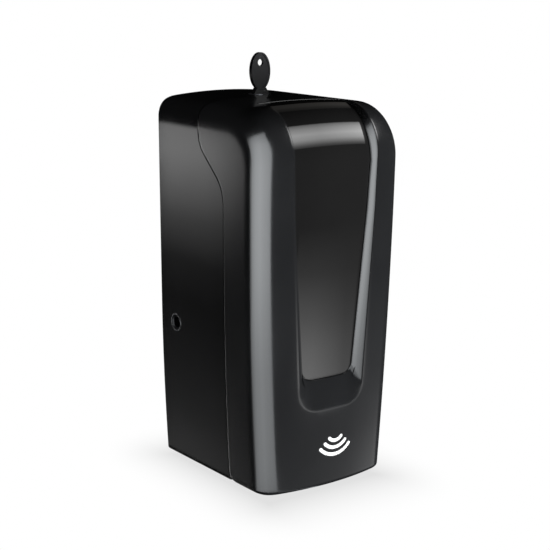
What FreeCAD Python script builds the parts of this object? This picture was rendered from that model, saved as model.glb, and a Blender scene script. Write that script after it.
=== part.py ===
"""Wall mounted automatic soap dispenser: housing, hinged cover, lock, tank, pump and electronics.

Millimetres, +Z up. X is to the right seen from the front, the wall plane is y = 0 and the front
faces -Y. Heights in the functions below are measured from the underside; save() lowers every
piece by ORIGIN_Z, so that the origin is the centre of the four wall screws on the rear face.
"""
import FreeCAD, Part
import math
import os

V = FreeCAD.Vector

# ---- driving dimensions of the body ----
ORIGIN_Z = 138.0            # height of the wall screw pattern's centre
TOP_Z = 265.3               # top at the wall
TOP_SLOPE = 0.019           # fall of the top towards the front
TOP_CROWN = 4.0             # fall of the top from the centre line to CROWN_X
CROWN_X = 56.0
BASE_DEPTH = 127.5          # depth of the front at the underside
LEAN = 6.8 / 220            # the front leans out with height
BOW = 4.7                   # the front falls back by this much at BOW_X
BOW_X = 42.0
FRONT_TOP_RADIUS = 34.0     # big bend between the front and the top
SIDE_RADIUS = 12.6          # round between the sides and the front or top
REAR_HALF = 56.8            # half width at the wall
REAR_TUCK = 3.25            # narrowing of the wall edge towards the underside
REAR_TUCK_Z = 120.0
FRONT_HALF = 59.9           # half width at the front corner
FRONT_TUCK = 7.9
FRONT_TUCK_Z = 220.0
CORNER_DEPTH = 114.0
WALL = 2.6                  # moulded wall thickness
BACK_WALL = 3.0
REACH = 150.0               # construction solids extend this far

# ---- seam and hinge ----
SEAM_LOW_Y = -80.5
SEAM_HIGH_Y = -85.7
SEAM_TOP_Y = -54.0
SEAM_BEND_Z = 206.3         # where the seam turns back
SEAM_CREST_Z = 234.2        # where it turns up again
SEAM_GAP = 0.5
LIP_GAP = 0.4               # between the housing's lip and the cover's roof
HINGE_R = 8.0               # the cover's lower rear corner rolls about the hinge
HINGE_Y = SEAM_LOW_Y - HINGE_R
HINGE_Z = HINGE_R
PIN_R = 2.5
FIT = 0.05                  # radial clearance of a running fit

# ---- window pocket ----
POCKET_DEPTH = 7.0
POCKET_BEND = 40.0          # bend radius of the window over the top
MOUTH_OFFSET = 2.5          # depth at which the mouth outline is given
FLOOR_OFFSET = 8.8          # depth at which the floor outline is given
MOUTH = {"low": 27.5, "mid": 34.0, "top": 36.0, "bottom": 53.5, "radius": 14.0}
FLOOR = {"low": 21.0, "mid": 29.8, "top": 31.8, "bottom": 76.0, "radius": 8.0}
POCKET_DRAFT = 0.67         # the pocket's side walls spread by this much per mm of depth
POCKET_JOIN_Z = 203.0       # the straight pocket hands over to the bend here
POCKET_MID_Z = 190.0
POCKET_END_Y = -92.0        # rear end of the pocket on the top
PANEL_T = 2.4

# ---- wall screws, jack, lock ----
SCREW_X = 36.0
SCREW_DZ = 80.0
SCREW_HOLE_R = 2.6
JACK_Y = -19.8
JACK_Z = 102.6
JACK_R = 6.5
LOCK_Y = -44.0
BARREL_R = 8.0
BOSS_LOW_Z = 240.0
CAM_T = 3.0
STRIKE_REACH = 11.5         # from the lock's axis to the strike pin
KEY_BOW_X = 8.0             # half width and half height of the key's oval bow
KEY_BOW_Z = 13.0
KEY_HOLE_R = 2.4

# ---- tank ----
TANK = {"x": 45.0, "front": -108.0, "rear": -34.0, "low": 88.0, "high": 212.0, "wall": 1.8}
FILLER_Y = -72.0
FILLER_R = 22.0

# ---- pump and gears ----
PUMP_X = -14.0
PUMP_Z = 40.0
TUBE_Y = -95.0              # plane of the tube
TUBE_R = 3.0
TUBE_LOOP_R = 18.4
MODULE = 1.0
GEAR_TEETH = 36
PINION_TEETH = 12
GEAR_ANGLE = -25.0          # direction from the pump's axis to the motor's
GEAR_FRONT = -80.0
GEAR_T = 5.0
ROLLER_R = 4.0
ROLLER_ORBIT = 11.1
MOTOR_R = 12.0

# ---- frame, batteries and board ----
FRAME_Y = -30.0             # front of the inner frame
FRAME_T = 2.5
SHELF_Z = 84.0
CELL_R = 7.25
CELL_L = 50.5
CELL_PITCH = 15.5
CELL_Y = -17.0
CELL_LOW = 124.5
TRAY_LOW = 0.5
TRAY_T = 2.6
TRAY_INSET = 4.4
SWITCH_X = 29.0             # left end of both slide knobs at rest


# ---- small helpers ----
def box(x0, x1, y0, y1, z0, z1):
    return Part.makeBox(x1 - x0, y1 - y0, z1 - z0, V(x0, y0, z0))


def rod(axis, centre, radius, start, end):
    """Cylinder along x, y or z from start to end; centre gives the other two coordinates."""
    a, b = centre
    places = {"x": V(start, a, b), "y": V(a, start, b), "z": V(a, b, start)}
    directions = {"x": V(1, 0, 0), "y": V(0, 1, 0), "z": V(0, 0, 1)}
    return Part.makeCylinder(radius, end - start, places[axis], directions[axis])


def pipe(axis, centre, outer, inner, start, end):
    return rod(axis, centre, outer, start, end).cut(rod(axis, centre, inner, start - 1, end + 1))


def join(*shapes):
    result = shapes[0]
    for shape in shapes[1:]:
        result = result.fuse(shape)
    return result.removeSplitter()


def unit(vector):
    return vector * (1.0 / vector.Length)


def rounded_wire(corners):
    """Closed planar wire through (point, radius) corners; radius 0 keeps a corner sharp."""
    starts, ends, arcs = [], [], []
    for index, (corner, radius) in enumerate(corners):
        back = unit(corners[index - 1][0] - corner)
        ahead = unit(corners[(index + 1) % len(corners)][0] - corner)
        half = back.getAngle(ahead) / 2
        starts.append(corner + back * (radius / math.tan(half)))
        ends.append(corner + ahead * (radius / math.tan(half)))
        middle = corner + unit(back + ahead) * (radius / math.sin(half) - radius)
        arcs.append(middle if radius else None)
    edges = []
    for index, middle in enumerate(arcs):
        if middle:
            edges.append(Part.Arc(starts[index], middle, ends[index]).toShape())
        follower = starts[(index + 1) % len(corners)]
        edges.append(Part.LineSegment(ends[index], follower).toShape())
    return Part.Wire(edges)


def slab_x(points, x0, x1):
    """Extrude a rounded (y, z, radius) outline along X."""
    wire = rounded_wire([(V(x0, y, z), r) for y, z, r in points])
    return Part.Face(wire).extrude(V(x1 - x0, 0, 0))


def slab_y(points, y0, y1):
    """Extrude a rounded (x, z, radius) outline along Y."""
    wire = rounded_wire([(V(x, y0, z), r) for x, z, r in points])
    return Part.Face(wire).extrude(V(0, y1 - y0, 0))


def slab_z(points, z0, z1):
    """Extrude a rounded (x, y, radius) outline along Z."""
    wire = rounded_wire([(V(x, y, z0), r) for x, y, r in points])
    return Part.Face(wire).extrude(V(0, 0, z1 - z0))


def rectangle(a0, a1, b0, b1, radius):
    return [(a0, b0, radius), (a1, b0, radius), (a1, b1, radius), (a0, b1, radius)]


def save(name, shape):
    shape.translate(V(0, 0, -ORIGIN_Z))
    solids = shape.Solids
    out = solids[0] if len(solids) == 1 else Part.makeCompound(solids)
    out.exportStep("parts/%s.step" % name)


# ---- the outer form ----
def rear_half(z):
    return REAR_HALF - REAR_TUCK * (max(0.0, REAR_TUCK_Z - z) / REAR_TUCK_Z) ** 2


def front_half(z):
    return FRONT_HALF - FRONT_TUCK * (max(0.0, FRONT_TUCK_Z - z) / FRONT_TUCK_Z) ** 2


def half_width(y, z):
    return rear_half(z) + (front_half(z) - rear_half(z)) * (-y / CORNER_DEPTH)


def depth(z):
    return BASE_DEPTH + LEAN * z


def top_height(y):
    return TOP_Z + TOP_SLOPE * y


def profile_solid(front_inset, top_inset, bend, low, back):
    """Side profile carried across the width, bowed in front and crowned on top."""
    sections = []
    for x in (-66.0, -33.0, 0.0, 33.0, 66.0):
        bow = BOW * (x / BOW_X) ** 2
        crown = TOP_CROWN * (x / CROWN_X) ** 2
        ahead = REACH + LEAN * TOP_Z
        front = [V(x, bow + front_inset - depth(z), z) for z in (low, TOP_Z)]
        peak_y = front[1].y
        peak_z = top_height(peak_y) - crown - top_inset
        peak_y = bow + front_inset - depth(peak_z)
        rear_z = top_height(back) - crown - top_inset
        corners = [(V(x, back, low), 0), (front[0], 0), (V(x, peak_y, peak_z), bend),
                   (V(x, back, rear_z), 0)]
        sections.append(rounded_wire(corners))
    return Part.makeLoft(sections, True, False)


def side_solid(inset, low):
    """Width of the body: the sides are ruled between the wall edge and the front."""
    wires = []
    levels = [low, 55.0, 110.0, 165.0, 220.0, 280.0]
    for y in (1.0, -REACH):
        right = [V(half_width(y, z) - inset, y, z) for z in levels]
        left = [V(-p.x, p.y, p.z) for p in reversed(right)]
        curves = []
        for points in (right, left):
            curve = Part.BSplineCurve()
            curve.interpolate(points)
            curves.append(curve.toShape())
        top = Part.LineSegment(right[-1], left[0]).toShape()
        bottom = Part.LineSegment(left[-1], right[0]).toShape()
        wires.append(Part.Wire([curves[0], top, curves[1], bottom]))
    return Part.makeLoft(wires, True, True)


def envelope(inset, low=0.0, back=0.0):
    """The whole closed outer form, made smaller by inset all round."""
    block = profile_solid(inset, inset, FRONT_TOP_RADIUS - inset, low - 1, back + 1)
    block = block.common(side_solid(inset, low - 2))
    block = block.common(box(-80, 80, -REACH - 10, back, low, TOP_Z + 10))
    solid = block.Solids[0]
    corners = []
    for edge in solid.Edges:
        middle = edge.CenterOfMass
        if abs(middle.x) > 40 and middle.y < back - 1 and middle.z > low + 1:
            corners.append(edge)
    return solid.makeFillet(SIDE_RADIUS - inset, corners)


def seam_region(gap, corner_radius):
    """Everything in front of the seam, as a slab across the width."""
    outline = [(-REACH - 20, 0, 0), (-REACH - 20, 300, 0), (SEAM_TOP_Y + gap, 300, 0),
               (SEAM_TOP_Y + gap, SEAM_CREST_Z - gap, 21), (SEAM_HIGH_Y + gap, SEAM_BEND_Z - gap, 23),
               (SEAM_LOW_Y + gap, 0, corner_radius)]
    return slab_x(outline, -80, 80)


# ---- window pocket ----
def pocket_wire(offset, grow):
    """Pocket outline at a depth behind the front, widened by grow."""
    share = (FLOOR_OFFSET - offset) / (FLOOR_OFFSET - MOUTH_OFFSET)
    size = {key: FLOOR[key] + (MOUTH[key] - FLOOR[key]) * share for key in FLOOR}
    bottom = size["bottom"] - grow
    top = TOP_Z + 12
    outline = [(-size["low"] - grow, bottom, size["radius"] + grow / 2),
               (size["low"] + grow, bottom, size["radius"] + grow / 2),
               (size["mid"] + grow, POCKET_MID_Z, 150), (size["top"] + grow, top, 0),
               (-size["top"] - grow, top, 0), (-size["mid"] - grow, POCKET_MID_Z, 150)]
    return rounded_wire([(V(x, offset - depth(z), z), r) for x, z, r in outline])


def bend_section(y, z, angle, half):
    """Trapezoid across the pocket at a point of the body's outline, facing along angle."""
    outward = V(0, -math.cos(angle), math.sin(angle))
    corners = []
    for rise in (7.0, -16.0):
        spread = half + POCKET_DRAFT * (rise + MOUTH_OFFSET)
        for side in (-1, 1):
            corners.append(V(side * spread, y, z) + outward * rise)
    ring = [corners[0], corners[1], corners[3], corners[2], corners[0]]
    return Part.makePolygon(ring)


def pocket_tool(grow):
    """The tapered pocket and its run round the bend on to the top."""
    front = Part.makeLoft([pocket_wire(-6.0, grow), pocket_wire(15.0, grow)], True, True)
    front = front.common(box(-80, 80, -REACH - 10, 0, 0, POCKET_JOIN_Z + 2))
    centre_z = top_height(-depth(TOP_Z)) - FRONT_TOP_RADIUS
    centre_y = FRONT_TOP_RADIUS - depth(centre_z)
    sections = []
    for z in (POCKET_JOIN_Z, POCKET_JOIN_Z + 12):
        share = (z - POCKET_MID_Z) / (TOP_Z + 12 - POCKET_MID_Z)
        half = MOUTH["mid"] + (MOUTH["top"] - MOUTH["mid"]) * share + grow
        sections.append(bend_section(-depth(z), z, 0.0, half))
    half = MOUTH["mid"] + 1.0 + grow
    for degrees in (0, 15, 30, 45, 60, 75, 90):
        angle = math.radians(degrees)
        y = centre_y - FRONT_TOP_RADIUS * math.cos(angle)
        z = centre_z + FRONT_TOP_RADIUS * math.sin(angle)
        sections.append(bend_section(y, z, angle, half))
    last_y = POCKET_END_Y + grow
    sections.append(bend_section(last_y, top_height(last_y), math.radians(90), half))
    return front.fuse(Part.makeLoft(sections, True, False))


def window_surface(extra):
    """Solid under the window's outer face, lowered by extra."""
    return profile_solid(POCKET_DEPTH + extra, 0.3 + extra, POCKET_BEND - extra, 20, -20)


# ---- cover ----
def front_cover(outer, pocket):
    shell = outer.cut(envelope(WALL, -2.0))
    walls = pocket_tool(PANEL_T).common(outer).cut(window_surface(PANEL_T))
    cover = shell.fuse(walls).cut(pocket).common(seam_region(0, HINGE_R))
    for side in (-1, 1):
        wall_in = half_width(HINGE_Y, HINGE_Z) - WALL
        ends = sorted((side * (wall_in - 1.0), side * (wall_in + 1.2)))
        boss = rod("x", (HINGE_Y, HINGE_Z), 5.0, *ends)
        cover = cover.fuse(boss)
        ends = sorted((side * 40.0, side * (wall_in + 1.2)))
        cover = cover.cut(rod("x", (HINGE_Y, HINGE_Z), PIN_R, *ends))
    for x in (-30.0, 0.0, 30.0):
        rib = box(x - 1, x + 1, -REACH, -60, TOP_Z - 9, TOP_Z).common(outer)
        cover = cover.fuse(rib.cut(pocket_tool(PANEL_T)).cut(box(-5, 5, -90, -50, 200, 300)))
    return cover.removeSplitter()


def window_retainer():
    """Frame that clamps the window from inside."""
    ring = window_surface(PANEL_T).cut(window_surface(PANEL_T + 2.0))
    ring = ring.common(pocket_tool(PANEL_T)).cut(pocket_tool(-3.5))
    return ring.cut(box(-REACH, REACH, -100, 0, 0, 300))


def sensor_icon(outer):
    """Three printed arcs that point to the sensor below."""
    print_skin = envelope(-0.15).cut(outer)
    centre_x, centre_z, half_angle, stroke = 2.7, 39.2, 48.0, 1.9
    marks = None
    for radius in (7.0, 12.0, 17.0):
        arcs = []
        for r in (radius - stroke / 2, radius + stroke / 2):
            points = []
            for degrees in (-half_angle, 0, half_angle):
                angle = math.radians(degrees)
                points.append(V(centre_x + r * math.sin(angle), -140, centre_z - r * math.cos(angle)))
            arcs.append(points)
        inner, outer_arc = arcs
        edges = [Part.Arc(*inner).toShape(), Part.LineSegment(inner[2], outer_arc[2]).toShape(),
                 Part.Arc(*reversed(outer_arc)).toShape(),
                 Part.LineSegment(outer_arc[0], inner[0]).toShape()]
        mark = Part.Face(Part.Wire(edges)).extrude(V(0, 40, 0)).common(print_skin)
        marks = mark if marks is None else marks.fuse(mark)
    return marks


def hinge_pins():
    wall_in = half_width(HINGE_Y, HINGE_Z) - WALL
    pins = []
    for side in (-1, 1):
        ends = sorted((side * 44.9, side * (wall_in + 1.2)))
        pins.append(rod("x", (HINGE_Y, HINGE_Z), PIN_R, *ends))
    return Part.makeCompound(pins)


def cover_strike(outer):
    """Bracket under the cover's top with the pin that the lock's hook catches."""
    inside = envelope(WALL, 10)
    rib = box(-7, 7, -78, -75, 230, TOP_Z).common(inside)
    foot = box(-7, 7, -78, -53, 230, 232.5)
    web = slab_x([(-75, 232.5, 0), (-66, 232.5, 0), (-75, 246, 0)], -1, 1)
    pin = rod("z", (0, LOCK_Y - STRIKE_REACH), 1.5, 232.5, BOSS_LOW_Z - 0.8)
    return join(rib, foot, web, pin)


# ---- rear housing ----
def wall_screw_places():
    return [(x, ORIGIN_Z + dz) for x in (-SCREW_X, SCREW_X) for dz in (-SCREW_DZ, SCREW_DZ)]


def frame_post_places():
    return [(x, z) for x in (-30.0, 30.0) for z in (40.0, 200.0)]


def rear_housing(outer):
    shell = outer.cut(envelope(WALL, WALL, -BACK_WALL))
    housing = shell.cut(seam_region(SEAM_GAP, 0))
    inner = envelope(WALL + 1.6, 50, -BACK_WALL - 2)
    seat = envelope(WALL, 60, -BACK_WALL).cut(inner)
    lip = envelope(WALL + LIP_GAP, 60, -BACK_WALL).cut(inner)
    seat = seat.common(box(-80, 80, SEAM_TOP_Y + 2, SEAM_TOP_Y + 6, 245, 300))
    lip = lip.common(box(-80, 80, SEAM_TOP_Y - 3.5, SEAM_TOP_Y + 6, 245, 300))
    housing = housing.fuse(seat).fuse(lip)
    roof = top_height(LOCK_Y)
    boss = rod("z", (0, LOCK_Y), BARREL_R + 3.5, BOSS_LOW_Z, roof - 1.0)
    boss = boss.cut(seam_region(SEAM_GAP, 0))
    housing = housing.fuse(boss).cut(rod("z", (0, LOCK_Y), BARREL_R + FIT, BOSS_LOW_Z - 1, TOP_Z + 5))
    housing = housing.cut(rod("x", (JACK_Y, JACK_Z), JACK_R, -REAR_HALF - 5, -REAR_HALF + 8))
    for x, z in wall_screw_places():
        housing = housing.cut(rod("y", (x, z), SCREW_HOLE_R, -10, 1))
    for x, z in frame_post_places():
        post = rod("y", (x, z), 4.5, FRAME_Y + FRAME_T, -BACK_WALL)
        housing = housing.fuse(post).cut(rod("y", (x, z), 1.5, FRAME_Y, -10))
    for z in (20.0, 240.0):
        housing = housing.fuse(box(-50, 50, -8, -BACK_WALL, z - 1, z + 1).common(outer))
    for x in (-12.0, 12.0):
        bar = box(x - 1, x + 1, -8, -BACK_WALL, 21, 64)
        housing = housing.fuse(bar)
    return housing.removeSplitter()


def jack_ring():
    start = -half_width(JACK_Y, JACK_Z) - 0.5
    return pipe("x", (JACK_Y, JACK_Z), JACK_R, 5.6, start, start + 3.2)


def dc_jack():
    """Socket body behind the side wall, with its centre pin."""
    start = -half_width(JACK_Y, JACK_Z) + 0.6
    tube = rod("x", (JACK_Y, JACK_Z), 5.6, start, start + 12)
    tube = tube.cut(rod("x", (JACK_Y, JACK_Z), 4.4, start - 1, start + 10))
    block = box(start + 3.4, start + 15, JACK_Y - 7, JACK_Y + 7, JACK_Z - 7, JACK_Z + 7)
    block = block.cut(rod("x", (JACK_Y, JACK_Z), 4.4, start - 1, start + 10))
    pin = rod("x", (JACK_Y, JACK_Z), 1.0, start + 5, start + 11)
    return join(tube, block, pin)


# ---- lock and key ----
def lock_barrel():
    roof = top_height(LOCK_Y) + 0.3
    barrel = rod("z", (0, LOCK_Y), BARREL_R, BOSS_LOW_Z, roof)
    neck = rod("z", (0, LOCK_Y), 4.0, BOSS_LOW_Z - 5, BOSS_LOW_Z)
    slot = box(-6.4, 6.4, LOCK_Y - 1.3, LOCK_Y + 1.3, BOSS_LOW_Z + 4, TOP_Z + 5)
    return join(barrel, neck).cut(slot)


def lock_cam():
    """Hook: an arc about the lock's axis, joined to its hub by a spoke at one end."""
    low = BOSS_LOW_Z - 1.5 - CAM_T
    hub = pipe("z", (0, LOCK_Y), 7.5, 4.0, low, low + CAM_T)
    ring = pipe("z", (0, LOCK_Y), 16.4, STRIKE_REACH + 1.9, low, low + CAM_T)
    first, last, spoke = -76.0, 44.0, 20.0

    def sector(start, end):
        points = [V(0, LOCK_Y, low)]
        steps = 6
        for index in range(steps + 1):
            angle = math.radians(start + (end - start) * index / steps)
            points.append(V(30 * math.cos(angle), LOCK_Y + 30 * math.sin(angle), low))
        points.append(points[0])
        return Part.Face(Part.makePolygon(points)).extrude(V(0, 0, CAM_T))

    hook = ring.common(sector(first, last))
    arm = pipe("z", (0, LOCK_Y), 15.0, 7.0, low, low + CAM_T).common(sector(last - spoke, last))
    return join(hub, hook, arm)


def oval(centre_z, half_x, half_z, y0, y1):
    """Upright oval plate across the lock's axis."""
    curve = Part.Ellipse(V(0, y0, centre_z), half_z, half_x)
    edge = curve.toShape()
    edge.rotate(V(0, y0, centre_z), V(0, 0, 1), 90)
    edge.rotate(V(0, y0, centre_z), V(1, 0, 0), 90)
    return Part.Face(Part.Wire(edge)).extrude(V(0, y1 - y0, 0))


def lock_key():
    """Flat key: oval bow with a hole and a raised rim, shoulder and blade."""
    shoulder_z = top_height(LOCK_Y) + 0.4
    centre_z = shoulder_z + KEY_BOW_Z + 2.4
    bow = oval(centre_z, KEY_BOW_X, KEY_BOW_Z, LOCK_Y - 1.1, LOCK_Y + 1.1)
    rim = oval(centre_z, KEY_BOW_X, KEY_BOW_Z, LOCK_Y - 1.6, LOCK_Y + 1.6)
    rim = rim.cut(oval(centre_z, KEY_BOW_X - 1.3, KEY_BOW_Z - 1.3, LOCK_Y - 3, LOCK_Y + 3))
    shoulder = slab_y([(-6.3, shoulder_z, 0), (6.3, shoulder_z, 0), (3.8, shoulder_z + 4, 0),
                       (-3.8, shoulder_z + 4, 0)], LOCK_Y - 2.2, LOCK_Y + 2.2)
    blade = box(-6.0, 6.0, LOCK_Y - 1.1, LOCK_Y + 1.1, BOSS_LOW_Z + 5, shoulder_z + 1)
    for z in (248.0, 253.0, 258.0):
        blade = blade.cut(box(5.0, 7.0, LOCK_Y - 3, LOCK_Y + 3, z, z + 2.0))
    key = join(bow, rim, shoulder, blade)
    return key.cut(rod("y", (0, centre_z + 6.0), KEY_HOLE_R, LOCK_Y - 5, LOCK_Y + 5))


# ---- inner frame and tray ----
def inner_frame():
    plate = slab_y(rectangle(-43, 43, 12, 228, 6), FRAME_Y, FRAME_Y + FRAME_T)
    shelf = box(-44, 44, -108, FRAME_Y, SHELF_Z, SHELF_Z + 3)
    frame = plate.fuse(shelf)
    for x in (-43.0, 41.0):
        gusset = slab_x([(FRAME_Y, SHELF_Z, 0), (-104, SHELF_Z, 0), (-104, SHELF_Z - 5, 0),
                         (FRAME_Y, SHELF_Z - 34, 0)], x, x + 2)
        frame = frame.fuse(gusset)
        frame = frame.fuse(box(x, x + 2, FRAME_Y - 6, FRAME_Y, SHELF_Z + 3, 205).cut(
            box(-60, 60, FRAME_Y - 7, FRAME_Y - 3.4, 0, 300)))
    frame = frame.cut(rod("z", (0, TUBE_Y), 10.05, SHELF_Z - 1, SHELF_Z + 4))
    for x, z in wall_screw_places():
        frame = frame.cut(rod("y", (x, z), 6.5, FRAME_Y - 1, FRAME_Y + 4))
    for x, z in frame_post_places():
        frame = frame.cut(rod("y", (x, z), 1.7, FRAME_Y - 1, FRAME_Y + 4))
    frame = frame.cut(box(-30.9, 30.9, FRAME_Y - 1, FRAME_Y + 4, 119.6, 178.4))
    frame = frame.cut(slab_y(rectangle(-12, 12, 92, 108, 3), FRAME_Y - 1, FRAME_Y + 4))
    return frame.removeSplitter()


def sensor_tray():
    """Floor inside the cover with the nozzle hole, the sensor window and the hinge ears."""
    floor = envelope(TRAY_INSET, TRAY_LOW).common(
        box(-80, 80, -REACH, SEAM_LOW_Y + 0.2, TRAY_LOW, TRAY_LOW + TRAY_T))
    tray = floor
    for side in (-1, 1):
        low, high = sorted((side * 44.4, side * 47.2))
        ear = slab_x([(HINGE_Y - 6, TRAY_LOW + 1, 0), (HINGE_Y + 6, TRAY_LOW + 1, 0),
                      (HINGE_Y + 6, HINGE_Z + 6, 5), (HINGE_Y - 6, HINGE_Z + 6, 5)], low, high)
        tray = tray.fuse(ear)
        tray = tray.cut(rod("x", (HINGE_Y, HINGE_Z), PIN_R + FIT, low - 5, high + 2))
        arm = box(low, high, HINGE_Y + 4, -BACK_WALL, 4.2, 12).fuse(
            box(low, high, HINGE_Y + 4, SEAM_LOW_Y + 0.2, TRAY_LOW, 12))
        tray = tray.fuse(arm.cut(rod("x", (HINGE_Y, HINGE_Z), PIN_R + FIT, low - 5, high + 2)))
    tray = tray.cut(rod("z", (0, TUBE_Y), 4.5, -1, 10))
    tray = tray.cut(slab_z(rectangle(-14, 14, -118, -107, 3), -1, 10))
    tray = tray.cut(rod("z", (19, -112.5), 1.5, -1, 10))
    return tray.removeSplitter()


def frame_screws():
    screws = []
    for x, z in frame_post_places():
        head = rod("y", (x, z), 3.2, FRAME_Y - 2.0, FRAME_Y)
        cross = box(x - 2, x + 2, FRAME_Y - 2.5, FRAME_Y - 1.2, z - 0.4, z + 0.4).fuse(
            box(x - 0.4, x + 0.4, FRAME_Y - 2.5, FRAME_Y - 1.2, z - 2, z + 2))
        screws.append(join(head, rod("y", (x, z), 1.5, FRAME_Y, FRAME_Y + 12)).cut(cross))
    return Part.makeCompound(screws)


# ---- tank ----
def tank_block(inset):
    t = TANK
    plan = rectangle(-t["x"] + inset, t["x"] - inset, t["front"] + inset, t["rear"] - inset,
                     12 - inset)
    return slab_z(plan, t["low"] + inset, t["high"] - inset)


def soap_tank():
    outer = tank_block(0)
    low_edges = [e for e in outer.Edges if abs(e.CenterOfMass.z - TANK["low"]) < 0.1]
    high_edges = [e for e in outer.Edges if abs(e.CenterOfMass.z - TANK["high"]) < 0.1]
    outer = outer.makeFillet(4.0, low_edges + high_edges)
    tank = outer.cut(tank_block(TANK["wall"]))
    neck = pipe("z", (0, FILLER_Y), FILLER_R, FILLER_R - 1.8, TANK["high"] - 1, TANK["high"] + 6)
    tank = tank.fuse(neck).cut(rod("z", (0, FILLER_Y), FILLER_R - 1.8, TANK["high"] - 5, TANK["high"] + 7))
    spigot = rod("z", (0, TUBE_Y), 7.0, SHELF_Z - 7, TANK["low"] + 2)
    tank = tank.fuse(spigot).cut(rod("z", (0, TUBE_Y), 3.5, SHELF_Z - 8, TANK["low"] + 5))
    return tank.removeSplitter()


def tank_cap():
    low = TANK["high"] + 0.6
    outer, inner = FILLER_R + 3.0, FILLER_R + 0.5
    cap = rod("z", (0, FILLER_Y), outer, low, low + 9).cut(rod("z", (0, FILLER_Y), inner, low - 1, low + 7))
    for index in range(24):
        angle = math.radians(15 * index)
        place = (outer * math.cos(angle) + 0.0, FILLER_Y + outer * math.sin(angle))
        cap = cap.cut(rod("z", place, 0.9, low - 1, low + 7.5))
    grip = slab_z(rectangle(-17, 17, FILLER_Y - 2, FILLER_Y + 2, 1.9), low + 9, low + 11.5)
    return cap.fuse(grip).removeSplitter()


def cap_seal():
    high = TANK["high"] + 7.6
    return pipe("z", (0, FILLER_Y), FILLER_R - 0.2, FILLER_R - 3.2, high - 1.4, high)


def outlet_socket():
    """Cup that the tank's spigot stands in, with the tube's stub below."""
    cup = rod("z", (0, TUBE_Y), 10.0, 72, SHELF_Z + 3)
    cup = cup.cut(rod("z", (0, TUBE_Y), 7.0 + FIT, 75.5, SHELF_Z + 4))
    cup = cup.cut(rod("z", (0, TUBE_Y), TUBE_R, 71, 77))
    flange = pipe("z", (0, TUBE_Y), 12.5, 9.0, SHELF_Z - 2, SHELF_Z)
    return join(cup, flange)


# ---- pump ----
def pump_housing():
    flange = slab_y(rectangle(PUMP_X - 27, PUMP_X + 27, PUMP_Z - 27, PUMP_Z + 27, 5),
                    TUBE_Y + 11, TUBE_Y + 13)
    cup = rod("y", (PUMP_X, PUMP_Z), 24.0, TUBE_Y - 5, TUBE_Y + 11)
    housing = flange.fuse(cup).cut(rod("y", (PUMP_X, PUMP_Z), 21.5, TUBE_Y - 6, TUBE_Y + 11))
    housing = housing.cut(rod("y", (PUMP_X, PUMP_Z), 3.0 + FIT, TUBE_Y, TUBE_Y + 20))
    for side in (-1, 1):
        lane = PUMP_Z + side * TUBE_LOOP_R
        low, high = sorted((lane - side * 3.2, lane + side * 3.2))
        housing = housing.cut(box(PUMP_X, PUMP_X + 30, TUBE_Y - 6, TUBE_Y + 3.2, low, high))
        low, high = sorted((lane - side * 3.2, lane + side * 12))
        housing = housing.cut(box(-8, PUMP_X + 26, TUBE_Y - 6, TUBE_Y + 3.2, low, high))
    for dx, dz in ((-22, 22), (22, 22), (-22, -22)):
        post = rod("y", (PUMP_X + dx, PUMP_Z + dz), 3.0, TUBE_Y + 13, GEAR_FRONT + 6)
        housing = housing.fuse(post)
    return housing.removeSplitter()


def pump_lid():
    """Clear front plate of the pump, held by the cup's rim."""
    plate = rod("y", (PUMP_X, PUMP_Z), 24.0, TUBE_Y - 7, TUBE_Y - 5)
    plate = plate.cut(rod("y", (PUMP_X, PUMP_Z), 3.0 + FIT, TUBE_Y - 8, TUBE_Y - 4))
    return plate


def pump_rotor():
    shaft = rod("y", (PUMP_X, PUMP_Z), 3.0, TUBE_Y - 7, GEAR_FRONT + GEAR_T + 4)
    disc = rod("y", (PUMP_X, PUMP_Z), 14.6, TUBE_Y + 6.5, TUBE_Y + 9.5)
    rotor = shaft.fuse(disc)
    for x, z in roller_places():
        rotor = rotor.fuse(rod("y", (x, z), 1.5, TUBE_Y - 4, TUBE_Y + 7))
    return rotor.removeSplitter()


def roller_places():
    places = []
    for index in range(3):
        angle = math.radians(90 + 120 * index)
        places.append((PUMP_X + ROLLER_ORBIT * math.cos(angle),
                       PUMP_Z + ROLLER_ORBIT * math.sin(angle)))
    return places


def pump_roller(place):
    roller = pipe("y", place, ROLLER_R, 1.5 + FIT, TUBE_Y - 4, TUBE_Y + 5)
    groove = pipe("y", place, ROLLER_R + 1, ROLLER_R - 0.5, TUBE_Y - 0.5, TUBE_Y + 1.5)
    return roller.cut(groove)


def pump_tube():
    """Silicone tube: down from the tank, round the pump and down to the nozzle."""
    y = TUBE_Y
    left = PUMP_X - TUBE_LOOP_R
    high, low = PUMP_Z + TUBE_LOOP_R, PUMP_Z - TUBE_LOOP_R
    turn = 7.0
    bend = turn * (1 - math.sqrt(0.5))
    path = Part.Wire([
        Part.LineSegment(V(0, y, 75.5), V(0, y, high + turn)).toShape(),
        Part.Arc(V(0, y, high + turn), V(-bend, y, high + bend), V(-turn, y, high)).toShape(),
        Part.LineSegment(V(-turn, y, high), V(PUMP_X, y, high)).toShape(),
        Part.Arc(V(PUMP_X, y, high), V(left, y, PUMP_Z), V(PUMP_X, y, low)).toShape(),
        Part.LineSegment(V(PUMP_X, y, low), V(-turn, y, low)).toShape(),
        Part.Arc(V(-turn, y, low), V(-bend, y, low - bend), V(0, y, low - turn)).toShape(),
        Part.LineSegment(V(0, y, low - turn), V(0, y, 12.5)).toShape()])
    rings = []
    for radius in (TUBE_R, TUBE_R - 1.0):
        ring = Part.Wire(Part.Circle(V(0, y, 75.5), V(0, 0, 1), radius).toShape())
        rings.append(path.makePipeShell([ring], True, False))
    return rings[0].cut(rings[1])


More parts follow.
